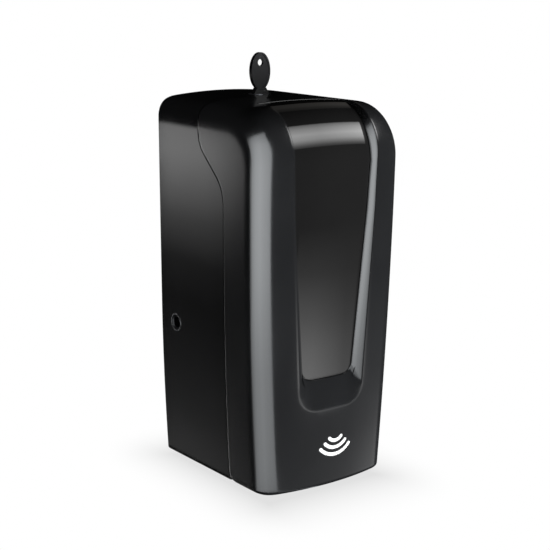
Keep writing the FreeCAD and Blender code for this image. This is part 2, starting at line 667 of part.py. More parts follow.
def gear_blank(teeth, centre, phase, y0, y1, bore):
    """Spur gear with involute flanks, a little backlash and a stubbed tip."""
    pitch = MODULE * teeth / 2
    pressure = math.radians(20)
    base = pitch * math.cos(pressure)
    tip, root = pitch + 0.85 * MODULE, pitch - 1.2 * MODULE
    half_tooth = math.pi / (2 * teeth) - 0.12 / pitch
    involute = math.tan(pressure) - pressure
    flank = []
    for share in (0.0, 0.25, 0.5, 0.75, 1.0):
        radius = max(base, root) + (tip - max(base, root)) * share
        angle = math.acos(min(1.0, base / radius))
        flank.append((radius, half_tooth + involute - math.tan(angle) + angle))
    if root < base:
        flank.insert(0, (root, flank[0][1]))
    points = []
    for tooth in range(teeth):
        middle = math.radians(phase) + 2 * math.pi * tooth / teeth
        for sign, steps in ((-1, flank), (1, list(reversed(flank)))):
            for radius, offset in steps:
                angle = middle + sign * offset
                points.append(V(centre[0] + radius * math.cos(angle), y0,
                                centre[1] + radius * math.sin(angle)))
    points.append(points[0])
    gear = Part.Face(Part.makePolygon(points)).extrude(V(0, y1 - y0, 0))
    return gear.cut(rod("y", centre, bore, y0 - 1, y1 + 1))


def motor_place():
    distance = MODULE * (GEAR_TEETH + PINION_TEETH) / 2 + 0.1
    angle = math.radians(GEAR_ANGLE)
    return (PUMP_X + distance * math.cos(angle), PUMP_Z + distance * math.sin(angle))


def pump_gear():
    gear = gear_blank(GEAR_TEETH, (PUMP_X, PUMP_Z), GEAR_ANGLE, GEAR_FRONT, GEAR_FRONT + GEAR_T, 3.0)
    for index in range(5):
        angle = math.radians(36 + 72 * index)
        place = (PUMP_X + 10.5 * math.cos(angle), PUMP_Z + 10.5 * math.sin(angle))
        gear = gear.cut(rod("y", place, 3.6, GEAR_FRONT - 1, GEAR_FRONT + GEAR_T + 1))
    return gear


def motor_pinion():
    phase = GEAR_ANGLE + 180 + 180.0 / PINION_TEETH
    pinion = gear_blank(PINION_TEETH, motor_place(), phase, GEAR_FRONT, GEAR_FRONT + GEAR_T, 1.0)
    return pinion


def motor_shaft():
    return rod("y", motor_place(), 1.0, GEAR_FRONT - 1, GEAR_FRONT + 20)


def gearbox_plate():
    """Bracket that carries the pump in front and the motor behind."""
    y0 = GEAR_FRONT + GEAR_T + 1
    plate = slab_y(rectangle(-42, 26, 13, 68, 4), y0, y0 + 2)
    foot = box(-42, 26, y0, FRAME_Y, 13, 15)
    bracket = plate.fuse(foot)
    for x in (-42.0, 24.0):
        bracket = bracket.fuse(slab_x([(y0, 15, 0), (FRAME_Y, 15, 0), (y0, 60, 0)], x, x + 2))
    bracket = bracket.cut(rod("y", (PUMP_X, PUMP_Z), 3.0 + FIT, y0 - 1, y0 + 3))
    bracket = bracket.cut(rod("y", motor_place(), 3.2, y0 - 1, y0 + 3))
    return bracket.removeSplitter()


def motor():
    y0 = GEAR_FRONT + GEAR_T + 3
    x, z = motor_place()
    can = rod("y", (x, z), MOTOR_R, y0, y0 + 28)
    flats = box(x - 20, x + 20, y0 - 1, y0 + 29, z - 10, z + 10)
    can = can.common(flats)
    boss = rod("y", (x, z), 3.0, y0 - 1.8, y0)
    tail = rod("y", (x, z), 4.5, y0 + 28, y0 + 30)
    body = join(can, boss, tail)
    return body.cut(rod("y", (x, z), 1.0 + FIT, y0 - 5, GEAR_FRONT + 21))


def motor_leads():
    y0 = GEAR_FRONT + GEAR_T + 31
    x, z = motor_place()
    tabs = [box(x + dx - 1.2, x + dx + 1.2, y0, y0 + 5, z - 0.3, z + 0.3) for dx in (-7, 7)]
    return Part.makeCompound([tab.translated(V(0, -3.0, 0)) for tab in tabs])


def pump_screws():
    """Screws through the gearbox plate into the pump's posts."""
    y0 = GEAR_FRONT + GEAR_T + 3
    heads = []
    for dx, dz in ((-22, 22), (22, 22), (-22, -22)):
        heads.append(rod("y", (PUMP_X + dx, PUMP_Z + dz), 2.6, y0, y0 + 1.8))
    return Part.makeCompound(heads)


def nozzle():
    stem = rod("z", (0, TUBE_Y), 4.5, 0.6, 12.5)
    flange = rod("z", (0, TUBE_Y), 7.5, TRAY_LOW + TRAY_T, TRAY_LOW + TRAY_T + 1.6)
    return join(stem, flange).cut(rod("z", (0, TUBE_Y), 2.0, -1, 14))


def nozzle_valve():
    """Soft duckbill in the nozzle's mouth."""
    cone = Part.makeCone(1.0, 2.0, 3.4, V(0, TUBE_Y, 0.8), V(0, 0, 1))
    return cone.cut(box(-0.25, 0.25, TUBE_Y - 1.2, TUBE_Y + 1.2, 0, 3))


# ---- batteries ----
def battery_box():
    block = box(-32, 32, FRAME_Y + FRAME_T, -6, 118, 180)
    block = block.cut(box(-30.9, 30.9, FRAME_Y, -7.6, 119.6, 178.4))
    for x in (-CELL_PITCH, 0.0, CELL_PITCH):
        block = block.fuse(box(x - 0.4, x + 0.4, -12, -7.6, 119.6, 178.4))
    return block.removeSplitter()


def battery_places():
    return [CELL_PITCH * (index - 1.5) for index in range(4)]


def batteries():
    cells = []
    for index, x in enumerate(battery_places()):
        can = rod("z", (x, CELL_Y), CELL_R, CELL_LOW, CELL_LOW + CELL_L - 1.2)
        if index % 2:
            knob = rod("z", (x, CELL_Y), 2.7, CELL_LOW - 1.2, CELL_LOW)
        else:
            knob = rod("z", (x, CELL_Y), 2.7, CELL_LOW + CELL_L - 1.2, CELL_LOW + CELL_L)
        cells.append(join(can, knob))
    return Part.makeCompound(cells)


def battery_contacts():
    pieces = []
    for x in (battery_places()[0] + CELL_PITCH / 2, battery_places()[2] + CELL_PITCH / 2):
        pieces.append(box(x - 13, x + 13, CELL_Y - 5, CELL_Y + 5, 177.6, 178.2))
    for x in battery_places():
        pieces.append(box(x - 6, x + 6, CELL_Y - 5, CELL_Y + 5, 119.8, 120.4))
    return Part.makeCompound(pieces)


def contact_springs():
    """One coil under or over each cell, drawn as stacked rings."""
    springs = []
    for index, x in enumerate(battery_places()):
        if index % 2:
            low, count = CELL_LOW + CELL_L - 1.2, 2
        else:
            low, count = 120.4, 3
        coils = pipe("z", (x, CELL_Y), 3.4, 2.8, low, low + 1.3 * count)
        for turn in range(count):
            height = low + 1.3 * turn
            coils = coils.fuse(pipe("z", (x, CELL_Y), 4.2, 2.8, height + 0.25, height + 1.05))
        springs.append(coils)
    return Part.makeCompound(springs)


def battery_door():
    plate = slab_y(rectangle(-32, 32, 115, 182, 3), FRAME_Y - 2.2, FRAME_Y - 0.2)
    for index in range(4):
        z = 166 + 3 * index
        plate = plate.fuse(box(-10, 10, FRAME_Y - 2.8, FRAME_Y - 2.2, z, z + 1.2))
    return plate.removeSplitter()


# ---- electronics ----
def control_board():
    board = box(-26, 26, -9.6, -8, 66, 110)
    parts = [box(-20, -8, -13, -9.6, 70, 82), box(4, 18, -12, -9.6, 88, 100),
             rod("y", (-14, 98), 4.0, -18, -9.6), rod("y", (12, 76), 2.5, -15, -9.6),
             box(-24, -18, -14, -9.6, 86, 94)]
    for x in (-22, 22):
        parts.append(rod("y", (x, 106.5), 2.0, -8, -BACK_WALL))
        parts.append(rod("y", (x, 69.5), 2.0, -8, -BACK_WALL))
    return join(board, *parts)


def sensor_board():
    return box(-20, 23, -119, -106, 9, 10.6)


def ir_pair(x):
    body = rod("z", (x, -112.5), 2.5, 4.6, 9.0)
    dome = Part.makeSphere(2.5, V(x, -112.5, 4.6)).common(box(x - 3, x + 3, -116, -109, 3.0, 4.7))
    return join(body, dome).cut(box(x - 4, x + 4, -116, -109, 0, 3.15))


def sensor_lens():
    return slab_z(rectangle(-14, 14, -118, -107, 3), TRAY_LOW, TRAY_LOW + TRAY_T)


def status_led():
    return rod("z", (19, -112.5), 1.5, TRAY_LOW, 9.0)


def switch_body(y):
    body = box(SWITCH_X - 4, SWITCH_X + 15, y - 5, y + 5, TRAY_LOW + TRAY_T, 9.5)
    return body.cut(box(SWITCH_X - 0.4, SWITCH_X + 11.4, y - 2.2, y + 2.2, 6.0, 10))


def switch_knob(y):
    knob = box(SWITCH_X, SWITCH_X + 6, y - 2, y + 2, 6.3, 12.5)
    for step in (1, 3, 5):
        x = SWITCH_X + step
        knob = knob.cut(box(x - 0.4, x + 0.4, y - 3, y + 3, 12.0, 13))
    return knob


def main():
    os.makedirs("parts", exist_ok=True)
    outer = envelope(0)
    pocket = pocket_tool(0)
    panel = window_surface(0).cut(window_surface(PANEL_T)).common(pocket)
    save("front_cover", front_cover(outer, pocket))
    save("window_panel", panel)
    save("window_retainer", window_retainer())
    save("sensor_icon", sensor_icon(outer))
    save("hinge_pins", hinge_pins())
    save("cover_strike", cover_strike(outer))
    save("rear_housing", rear_housing(outer))
    save("jack_ring", jack_ring())
    save("dc_jack", dc_jack())
    save("lock_barrel", lock_barrel())
    save("lock_cam", lock_cam())
    save("lock_key", lock_key())
    save("inner_frame", inner_frame())
    save("sensor_tray", sensor_tray())
    save("frame_screws", frame_screws())
    save("soap_tank", soap_tank())
    save("tank_cap", tank_cap())
    save("cap_seal", cap_seal())
    save("outlet_socket", outlet_socket())
    save("pump_housing", pump_housing())
    save("pump_lid", pump_lid())
    save("pump_rotor", pump_rotor())
    for index, place in enumerate(roller_places()):
        save("pump_roller_%d" % (index + 1), pump_roller(place))
    save("pump_tube", pump_tube())
    save("pump_gear", pump_gear())
    save("motor_pinion", motor_pinion())
    save("motor_shaft", motor_shaft())
    save("gearbox_plate", gearbox_plate())
    save("motor", motor())
    save("pump_screws", pump_screws())
    save("nozzle", nozzle())
    save("nozzle_valve", nozzle_valve())
    save("battery_box", battery_box())
    save("batteries", batteries())
    save("battery_contacts", battery_contacts())
    save("contact_springs", contact_springs())
    save("battery_door", battery_door())
    save("control_board", control_board())
    save("sensor_board", sensor_board())
    save("ir_emitter", ir_pair(-7))
    save("ir_receiver", ir_pair(7))
    save("sensor_lens", sensor_lens())
    save("status_led", status_led())
    save("power_switch_body", switch_body(-104))
    save("power_switch", switch_knob(-104))
    save("dose_switch_body", switch_body(-92))
    save("dose_switch", switch_knob(-92))


main()
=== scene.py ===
import math
from collections import namedtuple

import bmesh
import bpy
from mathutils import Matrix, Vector
from mathutils.bvhtree import BVHTree


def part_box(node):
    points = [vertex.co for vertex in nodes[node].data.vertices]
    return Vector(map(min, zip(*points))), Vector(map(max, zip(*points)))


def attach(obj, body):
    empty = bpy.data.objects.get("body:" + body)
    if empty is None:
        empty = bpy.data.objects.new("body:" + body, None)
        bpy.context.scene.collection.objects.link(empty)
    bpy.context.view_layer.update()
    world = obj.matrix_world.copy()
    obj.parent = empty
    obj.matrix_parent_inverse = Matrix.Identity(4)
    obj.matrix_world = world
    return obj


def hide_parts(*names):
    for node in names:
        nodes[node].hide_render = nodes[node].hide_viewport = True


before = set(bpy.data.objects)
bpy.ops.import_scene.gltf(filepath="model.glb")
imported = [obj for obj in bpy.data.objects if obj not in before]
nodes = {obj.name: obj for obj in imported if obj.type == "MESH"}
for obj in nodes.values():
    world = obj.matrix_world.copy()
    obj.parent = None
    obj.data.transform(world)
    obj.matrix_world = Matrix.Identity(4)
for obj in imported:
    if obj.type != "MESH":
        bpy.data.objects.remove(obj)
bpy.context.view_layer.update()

# Lengths below are millimetres measured from the underside and the wall plane.
# place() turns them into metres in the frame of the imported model.
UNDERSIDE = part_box("rear_housing")[0].z

# ---- driving dimensions of the body, as in the CAD unless they say otherwise ----
TOP_Z = 265.3
TOP_SLOPE = 0.019           # fall of the top towards the front
TOP_CROWN = 4.0
CROWN_X = 56.0
BASE_DEPTH = 127.5
LEAN = 6.8 / 220
BOW = 4.7
BOW_X = 42.0
BEND_R = 34.0               # big bend between the front and the top
REAR_HALF = 56.8
REAR_TUCK = 3.25
REAR_TUCK_Z = 120.0
FRONT_HALF = 60.6           # 0.7 more than in the CAD
FRONT_TUCK = 7.9
FRONT_TUCK_Z = 220.0
CORNER_DEPTH = 114.0
WALL = 2.4                  # 0.2 less than in the CAD
CORNER_POWER = 2.7          # how full the rounded corners are; 2 would be a circle
CORNER_LOW = (11.0, 12.4)   # size of the rounded corners along X and along the side, at the foot
CORNER_GROWTH = (3.6, 2.4)  # and how much larger they are at the top
CORNER_GROWS = 0.85         # station from which they grow
CORNER_GROWN = 0.9          # and the run of stations that it takes
SEAM_LOW_Y = -80.5
SEAM_HIGH_Y = -85.7
SEAM_TOP_Y = -54.0
SEAM_BEND_Z = 206.3
SEAM_BEND_R = 23.0
SEAM_CREST_Z = 234.2
SEAM_CREST_R = 21.0
SEAM_GAP = 0.5
HINGE_R = 8.0               # rounding of the cover's corner at its hinge
EDGE = 0.75                 # softened moulded edges
SHARP_ANGLE = 32            # degrees from which an edge is softened
HOLE_EDGE = 0.4
BASE_ROUND = 2.6            # rounding of the outer edge round the underside
LOCK_Y = -44.0
LOCK_HOLE_R = 8.25
JACK_Y = -19.8
JACK_Z = 102.6
JACK_R = 6.5
SCREW_X = 36.0
SCREW_HOLE_R = 2.6
SCREW_Z = (58.0, 218.0)
CUT_REACH = 10.0            # how far past a wall the tools for its holes reach

# ---- window pocket ----
POCKET_DEPTH = 7.0          # at the window's foot
POCKET_TOP_DEPTH = 5.0      # where the window starts to bend
WINDOW_TOP_DEPTH = 0.3
WINDOW_R = 37.0
WINDOW_ARC = 1.45           # radians that the window's bend turns through, near enough
POCKET_END_Y = -92.0
POCKET_MID_Z = 190.0
MOUTH_LOW_Z = 56.0
MOUTH_CORNER_R = 14.0
MOUTH_LOW = 26.2
MOUTH_MID = 34.0
MOUTH_HIGH = 35.0
FLOOR_LOW_Z = 76.0
FLOOR_CORNER_R = 8.0
FLOOR_LOW = 21.0
FLOOR_MID = 30.6
DRAFT = 0.55                # slope of the pocket's side walls round the bend
MOUTH_MARGIN = 0.8          # how far outside the mouth its rounding starts
MOUTH_ROUND = 0.22          # share of the wall that the rounding takes
WALL_CURVE = 0.3            # how much steeper the wall is at its foot than at the mouth
RAMP_ROUND = 0.35           # the rounding at the pocket's foot, as a share of that at its sides
POCKET_LIP = 2.2            # how far the pocket's wall runs on behind the window
PANEL_GAP = 0.45
PANEL_T = 2.2
PANEL_SUNK = 0.15           # how far the pane lies below the pocket's floor
PANEL_EDGE = 0.3
PANEL_RIM = 1.0             # how far the pane's rim reaches under the pocket's edge
PANEL_RIM_T = 1.0

# ---- sensor symbol ----
ICON_X = 2.75
ICON_Z = 39.0
ICON_RADII = (7.0, 12.0, 17.0)
ICON_STROKE = 2.5
ICON_HALF_ANGLE = 47
ICON_LIFT = 0.08            # how far the print stands off the front
ICON_T = 0.1


def place(x, y, z):
    """A point of the body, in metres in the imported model's frame."""
    return Vector((x / 1000, y / 1000, z / 1000 + UNDERSIDE))


BODY_MIDDLE = place(0, -60, 120)


def spread(first, last, steps):
    """Evenly spaced values from first to last."""
    return [first + (last - first) * i / steps for i in range(steps + 1)]


# ---- the outer form ----
def half_width(y, z):
    """Half width of the body, from the wall to the front corner, narrower towards the foot."""
    rear = REAR_HALF - REAR_TUCK * (max(0.0, REAR_TUCK_Z - z) / REAR_TUCK_Z) ** 2
    front = FRONT_HALF - FRONT_TUCK * (max(0.0, FRONT_TUCK_Z - z) / FRONT_TUCK_Z) ** 2
    return rear + (front - rear) * (-y / CORNER_DEPTH)


def front_depth(x):
    return BASE_DEPTH - BOW * (x / BOW_X) ** 2


def top_height(x, y):
    return TOP_Z - TOP_CROWN * (x / CROWN_X) ** 2 + TOP_SLOPE * y


def bend_centre(depth, top_z, radius, lean=LEAN):
    """Centre of the arc that joins the leaning front to the sloping top."""
    along_front = radius * math.hypot(1, lean) - depth
    along_top = radius * math.hypot(1, TOP_SLOPE) - top_z
    y = (along_front + lean * along_top) / (1 + lean * TOP_SLOPE)
    return y, TOP_SLOPE * y - along_top


FACE_LOW = -math.atan(LEAN)                     # angle at which the front faces
FACE_HIGH = math.pi / 2 - math.atan(TOP_SLOPE)  # and the top


def outline(x, station):
    """Point of the side outline at width x, and the angle at which it faces.

    Stations run 0 to 1 up the front, 1 to 2 round the bend and 2 to 3 along the top to the seam.
    """
    centre_y, centre_z = bend_centre(front_depth(x), top_height(x, 0), BEND_R)
    if station <= 1:
        z = station * (centre_z + BEND_R * math.sin(FACE_LOW))
        return -(front_depth(x) + LEAN * z), z, FACE_LOW
    if station <= 2:
        angle = FACE_LOW + (station - 1) * (FACE_HIGH - FACE_LOW)
        return centre_y - BEND_R * math.cos(angle), centre_z + BEND_R * math.sin(angle), angle
    start = centre_y - BEND_R * math.cos(FACE_HIGH)
    y = start + (station - 2) * (SEAM_TOP_Y - start)
    return y, top_height(x, y), FACE_HIGH


BEND_START_Z = outline(0, 1)[1]
WINDOW_LEAN = LEAN + (POCKET_DEPTH - POCKET_TOP_DEPTH) / (BEND_START_Z - FLOOR_LOW_Z)
WINDOW_BACK = POCKET_DEPTH + (WINDOW_LEAN - LEAN) * FLOOR_LOW_Z
WINDOW_FACING = -math.atan(WINDOW_LEAN)
BEND_END_Y = outline(0, 2)[0]
POCKET_END = 2 + (POCKET_END_Y - BEND_END_Y) / (SEAM_TOP_Y - BEND_END_Y)


def front_point(x, station):
    """Point of the front, bend or top."""
    y, z, _ = outline(x, station)
    return Vector((x, y, z))


def side_point(y, z):
    """Point of the right side."""
    return Vector((half_width(y, z), y, z))


def round_corner(flat, corner, lower, steps=12):
    """Points of a full rounded corner from a face, past its sharp corner, to the side."""
    points = []
    for turn in spread(0, math.pi / 2, steps):
        out = max(math.sin(turn), 0.0) ** (2 / CORNER_POWER)
        down = 1 - max(math.cos(turn), 0.0) ** (2 / CORNER_POWER)
        points.append(flat + (corner - flat) * out + (lower - corner) * down)
    return points


def corner_legs(station):
    """Size of the rounded corner along X and along the side; it grows round the bend."""
    share = min(max(station - CORNER_GROWS, 0.0) / CORNER_GROWN, 1.0)
    share = share * share * (3 - 2 * share)
    return tuple(low + growth * share for low, growth in zip(CORNER_LOW, CORNER_GROWTH))


def corner_column(station):
    """The right corner at a station, from the front or top face to the side."""
    leg_x, leg_side = corner_legs(station)
    x = FRONT_HALF
    for _ in range(6):
        y, z, angle = outline(x, station)
        x = half_width(y, z)
    flat = front_point(x - leg_x, station)
    lower = side_point(y + leg_side * math.cos(angle), z - leg_side * math.sin(angle))
    return round_corner(flat, Vector((x, y, z)), lower)


def top_corner(y):
    """The right corner behind the seam, where only the top and the side meet."""
    leg_x, leg_side = corner_legs(3)
    x = REAR_HALF
    for _ in range(6):
        x = half_width(y, top_height(x, y))
    z = top_height(x, y)
    flat = Vector((x - leg_x, y, top_height(x - leg_x, y)))
    return round_corner(flat, Vector((x, y, z)), side_point(y, z - leg_side))


def rounded(points, steps=12):
    """A polyline of (y, z, radius) with its corners rounded, as 2-D vectors."""
    path = [Vector(points[0][:2])]
    for before, here, after in zip(points, points[1:], points[2:]):
        corner = Vector(here[:2])
        to_a = (Vector(before[:2]) - corner).normalized()
        to_b = (Vector(after[:2]) - corner).normalized()
        half = to_a.angle(to_b) / 2
        if here[2] <= 0:
            path.append(corner)
            continue
        reach = here[2] / math.tan(half)
        centre = corner + (to_a + to_b).normalized() * here[2] / math.sin(half)
        start = corner + to_a * reach - centre
        finish = corner + to_b * reach - centre
        for share in spread(0, 1, steps):
            path.append(centre + start.slerp(finish, share).normalized() * here[2])
    path.append(Vector(points[-1][:2]))
    return path


def running_lengths(path):
    """Distance along a path to each of its points."""
    lengths = [0.0]
    for a, b in zip(path, path[1:]):
        lengths.append(lengths[-1] + (b - a).length)
    return lengths


def shares_of(path):
    """Share of a path's length at which each of its points lies."""
    lengths = running_lengths(path)
    return [length / lengths[-1] for length in lengths]


def resample(path, shares):
    """Points at these shares of a path's length."""
    lengths = running_lengths(path)
    points = []
    index = 0
    for share in shares:
        want = share * lengths[-1]
        while index < len(path) - 2 and lengths[index + 1] < want:
            index += 1
        step = lengths[index + 1] - lengths[index]
        part = (want - lengths[index]) / step if step else 0.0
        points.append(path[index].lerp(path[index + 1], min(max(part, 0.0), 1.0)))
    return points


# ---- mesh helpers ----
def patch(bm, rows, flip=False):
    """Quads between rows of points."""
    grid = [[bm.verts.new(place(*p)) for p in row] for row in rows]
    for low, high in zip(grid, grid[1:]):
        for a, b, c, d in zip(low, low[1:], high[1:], high):
            corners = (a, d, c, b) if flip else (a, b, c, d)
            bm.faces.new(corners)


def both_sides(bm, rows, flip=False):
    """A patch of the right side, and its mirror image."""
    patch(bm, rows, flip)
    patch(bm, [[Vector((-p.x, p.y, p.z)) for p in row] for row in rows], not flip)


def finish_mesh(bm, name, weld=0.02, skin=False):
    """Welds the patches into one object. A skin is an open surface that faces away from the body."""
    bmesh.ops.remove_doubles(bm, verts=bm.verts, dist=weld / 1000)
    bmesh.ops.dissolve_degenerate(bm, edges=bm.edges, dist=weld / 2000)
    bmesh.ops.recalc_face_normals(bm, faces=bm.faces)
    outward = sum(f.normal.dot(f.calc_center_median() - BODY_MIDDLE) * f.calc_area() for f in bm.faces)
    if skin and outward < 0:
        bmesh.ops.reverse_faces(bm, faces=bm.faces)
    mesh = bpy.data.meshes.new(name)
    bm.to_mesh(mesh)
    bm.free()
    for polygon in mesh.polygons:
        polygon.use_smooth = True
    obj = bpy.data.objects.new(name, mesh)
    bpy.context.scene.collection.objects.link(obj)
    return obj


def thicken(obj, thickness):
    """Grows a skin inward to this thickness."""
    solid = obj.modifiers.new("thickness", "SOLIDIFY")
    solid.thickness = thickness / 1000
    solid.offset = -1.0
    solid.use_even_offset = True
    solid.thickness_clamp = 0


def soften(obj, width=EDGE, clamp=True):
    """Rounds the sharp edges; unclamped, short mesh edges nearby don't hold the rounding back."""
    bevel = obj.modifiers.new("edges", "BEVEL")
    bevel.width = width / 1000
    bevel.segments = 3
    bevel.limit_method = "ANGLE"
    bevel.angle_limit = math.radians(SHARP_ANGLE)
    bevel.miter_outer = "MITER_ARC"
    bevel.harden_normals = True
    bevel.use_clamp_overlap = clamp


def round_base(obj):
    """Draws the lowest vertices inward along a quarter circle round the underside.

    The high powers keep this to the sides and the front; the middle and the back stay put.
    """
    for vert in obj.data.vertices:
        x, y = vert.co.x * 1000, vert.co.y * 1000
        z = (vert.co.z - UNDERSIDE) * 1000
        if z >= BASE_ROUND:
            continue
        rise = BASE_ROUND - max(z, 0.0)
        inset = BASE_ROUND - math.sqrt(BASE_ROUND ** 2 - rise ** 2)
        vert.co.x -= math.copysign(inset * min(abs(x) / half_width(y, z), 1.0) ** 5, x) / 1000
        vert.co.y += inset * min(max(-y / front_depth(x), 0.0), 1.0) ** 8 / 1000
    return obj


def apply_modifiers(obj):
    """Makes the modified shape the object's own."""
    graph = bpy.context.evaluated_depsgraph_get()
    mesh = bpy.data.meshes.new_from_object(obj.evaluated_get(graph))
    obj.modifiers.clear()
    obj.data = mesh
    return obj


def keep_close(obj, before, reach=0.4, over=0.02):
    """Puts vertices that an edge rounding threw off, or out, back on the mesh it started from."""
    tree = BVHTree.FromPolygons([v.co for v in before.vertices],
                                [p.vertices for p in before.polygons])
    for vert in obj.data.vertices:
        nearest, normal, _, distance = tree.find_nearest(vert.co)
        outward = (vert.co - nearest).dot(normal)
        if distance > reach / 1000 or outward > over / 1000:
            vert.co = nearest
    return obj


def cut_holes(obj, cutters):
    """Cuts each cutter out of the object and removes it."""
    for cutter in cutters:
        boolean = obj.modifiers.new("hole", "BOOLEAN")
        boolean.object = cutter
        boolean.operation = "DIFFERENCE"
        boolean.solver = "EXACT"
    apply_modifiers(obj)
    for cutter in cutters:
        bpy.data.objects.remove(cutter)
    return obj


def cylinder_cutter(axis, centre, radius, low, high, steps=64):
    """A cylinder along an axis, between two places on it, for cutting a hole."""
    bm = bmesh.new()
    rows = []
    for along, reach in ((low, 0.0), (low, radius), (high, radius), (high, 0.0)):
        row = []
        for i in range(steps + 1):
            angle = 2 * math.pi * i / steps
            a, b = reach * math.cos(angle), reach * math.sin(angle)
            offset = {"x": (along, a, b), "y": (b, along, a), "z": (a, b, along)}[axis]
            row.append(Vector(centre) + Vector(offset))
        rows.append(row)
    patch(bm, rows, flip=True)
    return finish_mesh(bm, "cutter", weld=0.005)


def join(target, others):
    """Joins other objects' final meshes into target, which keeps its modifiers off."""
    bm = bmesh.new()
    for obj in [target] + others:
        apply_modifiers(obj)
        bm.from_mesh(obj.data)
    for obj in others:
        bpy.data.objects.remove(obj)
    mesh = bpy.data.meshes.new(target.name)
    bm.to_mesh(mesh)
    bm.free()
    target.data = mesh
    for polygon in mesh.polygons:
        polygon.use_smooth = True
    return target


# ---- cover ----
def mouth_half(z):
    """Half width of the pocket's mouth on the front face."""
    if z < POCKET_MID_Z:
        share = (z - MOUTH_LOW_Z) / (POCKET_MID_Z - MOUTH_LOW_Z)
        return MOUTH_LOW + (MOUTH_MID - MOUTH_LOW) * share
    share = min((z - POCKET_MID_Z) / (BEND_START_Z - POCKET_MID_Z), 1.0)
    return MOUTH_MID + (MOUTH_HIGH - MOUTH_MID) * share


def floor_half(z):
    """Half width of the pocket's floor on the front face."""
    if z < POCKET_MID_Z:
        share = (z - FLOOR_LOW_Z) / (POCKET_MID_Z - FLOOR_LOW_Z)
        return FLOOR_LOW + (FLOOR_MID - FLOOR_LOW) * share
    share = min((z - POCKET_MID_Z) / (BEND_START_Z - POCKET_MID_Z), 1.0)
    return FLOOR_MID + (MOUTH_HIGH - DRAFT * POCKET_TOP_DEPTH - FLOOR_MID) * share


def window_centre(x):
    """Centre of the window's bend at width x."""
    return bend_centre(front_depth(x) - WINDOW_BACK, top_height(x, 0) - WINDOW_TOP_DEPTH,
                       WINDOW_R, WINDOW_LEAN)


def window_point(x, z=None, share=0.0):
    """Point of the window's outer face: at height z, or at a share of its run round the bend."""
    depth = front_depth(x) - WINDOW_BACK
    if z is not None:
        return Vector((x, -(depth + WINDOW_LEAN * z), z))
    centre_y, centre_z = window_centre(x)
    end_y = outline(x, POCKET_END)[0]
    last = math.acos(min((centre_y - end_y) / WINDOW_R, 1.0))
    angle = WINDOW_FACING + share * (last - WINDOW_FACING)
    return Vector((x, centre_y - WINDOW_R * math.cos(angle), centre_z + WINDOW_R * math.sin(angle)))


def bend_floor_half(share):
    """Half width of the window round the bend; it grows as the pocket runs out."""
    station = pocket_station(share)
    y, z, angle = outline(MOUTH_HIGH, station)
    inner = window_point(MOUTH_HIGH, share=share)
    depth = (inner.y - y) * math.cos(angle) + (z - inner.z) * math.sin(angle)
    return MOUTH_HIGH - DRAFT * max(depth, 0.0)


BEND_LENGTH = BEND_R * (FACE_HIGH - FACE_LOW)
TAIL_LENGTH = POCKET_END_Y - BEND_END_Y


def pocket_station(share):
    """Station at a share of the pocket's run from the bend's start to its end."""
    run = share * (BEND_LENGTH + TAIL_LENGTH)
    if run < BEND_LENGTH:
        return 1 + run / BEND_LENGTH
    return 2 + (run - BEND_LENGTH) / (SEAM_TOP_Y - BEND_END_Y)


PocketRow = namedtuple("PocketRow", (
    "start_station", "start_half",  # station and half width where the mouth's rounding starts
    "station", "half",              # and those of the mouth itself
    "sideways",                     # how far the wall has turned to the side, 0 to 1
    "where", "inner"))              # place along the window, and its half width there


def pocket_rows():
    """Matching places of the mouth and the window, from the foot up its sides and over the bend."""
    rows = []
    mouth_top = mouth_half(MOUTH_LOW_Z + MOUTH_CORNER_R)
    floor_top = floor_half(FLOOR_LOW_Z + FLOOR_CORNER_R)
    mouth_flat = MOUTH_LOW - MOUTH_CORNER_R
    floor_flat = FLOOR_LOW - FLOOR_CORNER_R
    for angle in spread(0, math.pi / 2, 16):
        rise, side = 1 - math.cos(angle), math.sin(angle)
        z = MOUTH_LOW_Z + MOUTH_CORNER_R * rise
        half = mouth_flat + (mouth_top - mouth_flat) * side
        rows.append(PocketRow(
            (z - MOUTH_MARGIN * (1 - rise)) / BEND_START_Z, half + MOUTH_MARGIN * side,
            z / BEND_START_Z, half, side ** 3,
            {"z": FLOOR_LOW_Z + FLOOR_CORNER_R * rise}, floor_flat + (floor_top - floor_flat) * side))
    window_bend_z = window_point(0, share=0.0).z
    low, low_floor = MOUTH_LOW_Z + MOUTH_CORNER_R, FLOOR_LOW_Z + FLOOR_CORNER_R
    for share in spread(0, 1, 22)[1:-1]:
        station = (low + (BEND_START_Z - low) * share) / BEND_START_Z
        floor_z = low_floor + (window_bend_z - low_floor) * share
        half = mouth_half(station * BEND_START_Z)
        rows.append(PocketRow(
            station, half + MOUTH_MARGIN, station, half, 1.0, {"z": floor_z}, floor_half(floor_z)))
    for share in spread(0, 1, 30):
        station = pocket_station(share)
        rows.append(PocketRow(
            station, MOUTH_HIGH + MOUTH_MARGIN, station, MOUTH_HIGH, 1.0,
            {"share": share}, bend_floor_half(share)))
    return rows


def curve_point(start, pull, end, t):
    """Point of the curve that leaves start towards pull and reaches end from there."""
    return start * (1 - t) ** 2 + pull * (2 * t * (1 - t)) + end * t ** 2


def pocket_wall(x_share, row):
    """Section of the pocket's wall from behind the window, up and over its rounded mouth."""
    start = front_point(row.start_half * x_share, row.start_station)
    edge = front_point(row.half * x_share, row.station)
    foot = window_point(row.inner * x_share, **row.where)
    across = Vector((edge.x - foot.x, 0, edge.z - foot.z))
    middle = foot.lerp(edge, 0.5) - across * WALL_CURVE * row.sideways
    section = [foot - window_normal(row.where) * POCKET_LIP]
    bend = MOUTH_ROUND * (RAMP_ROUND + (1 - RAMP_ROUND) * row.sideways)
    for t in spread(0, 1 - bend, 8):
        section.append(curve_point(foot, middle, edge, t))
    turn = section[-1]
    for t in spread(0, 1, 6)[1:]:
        section.append(curve_point(turn, edge, start, t))
    return section


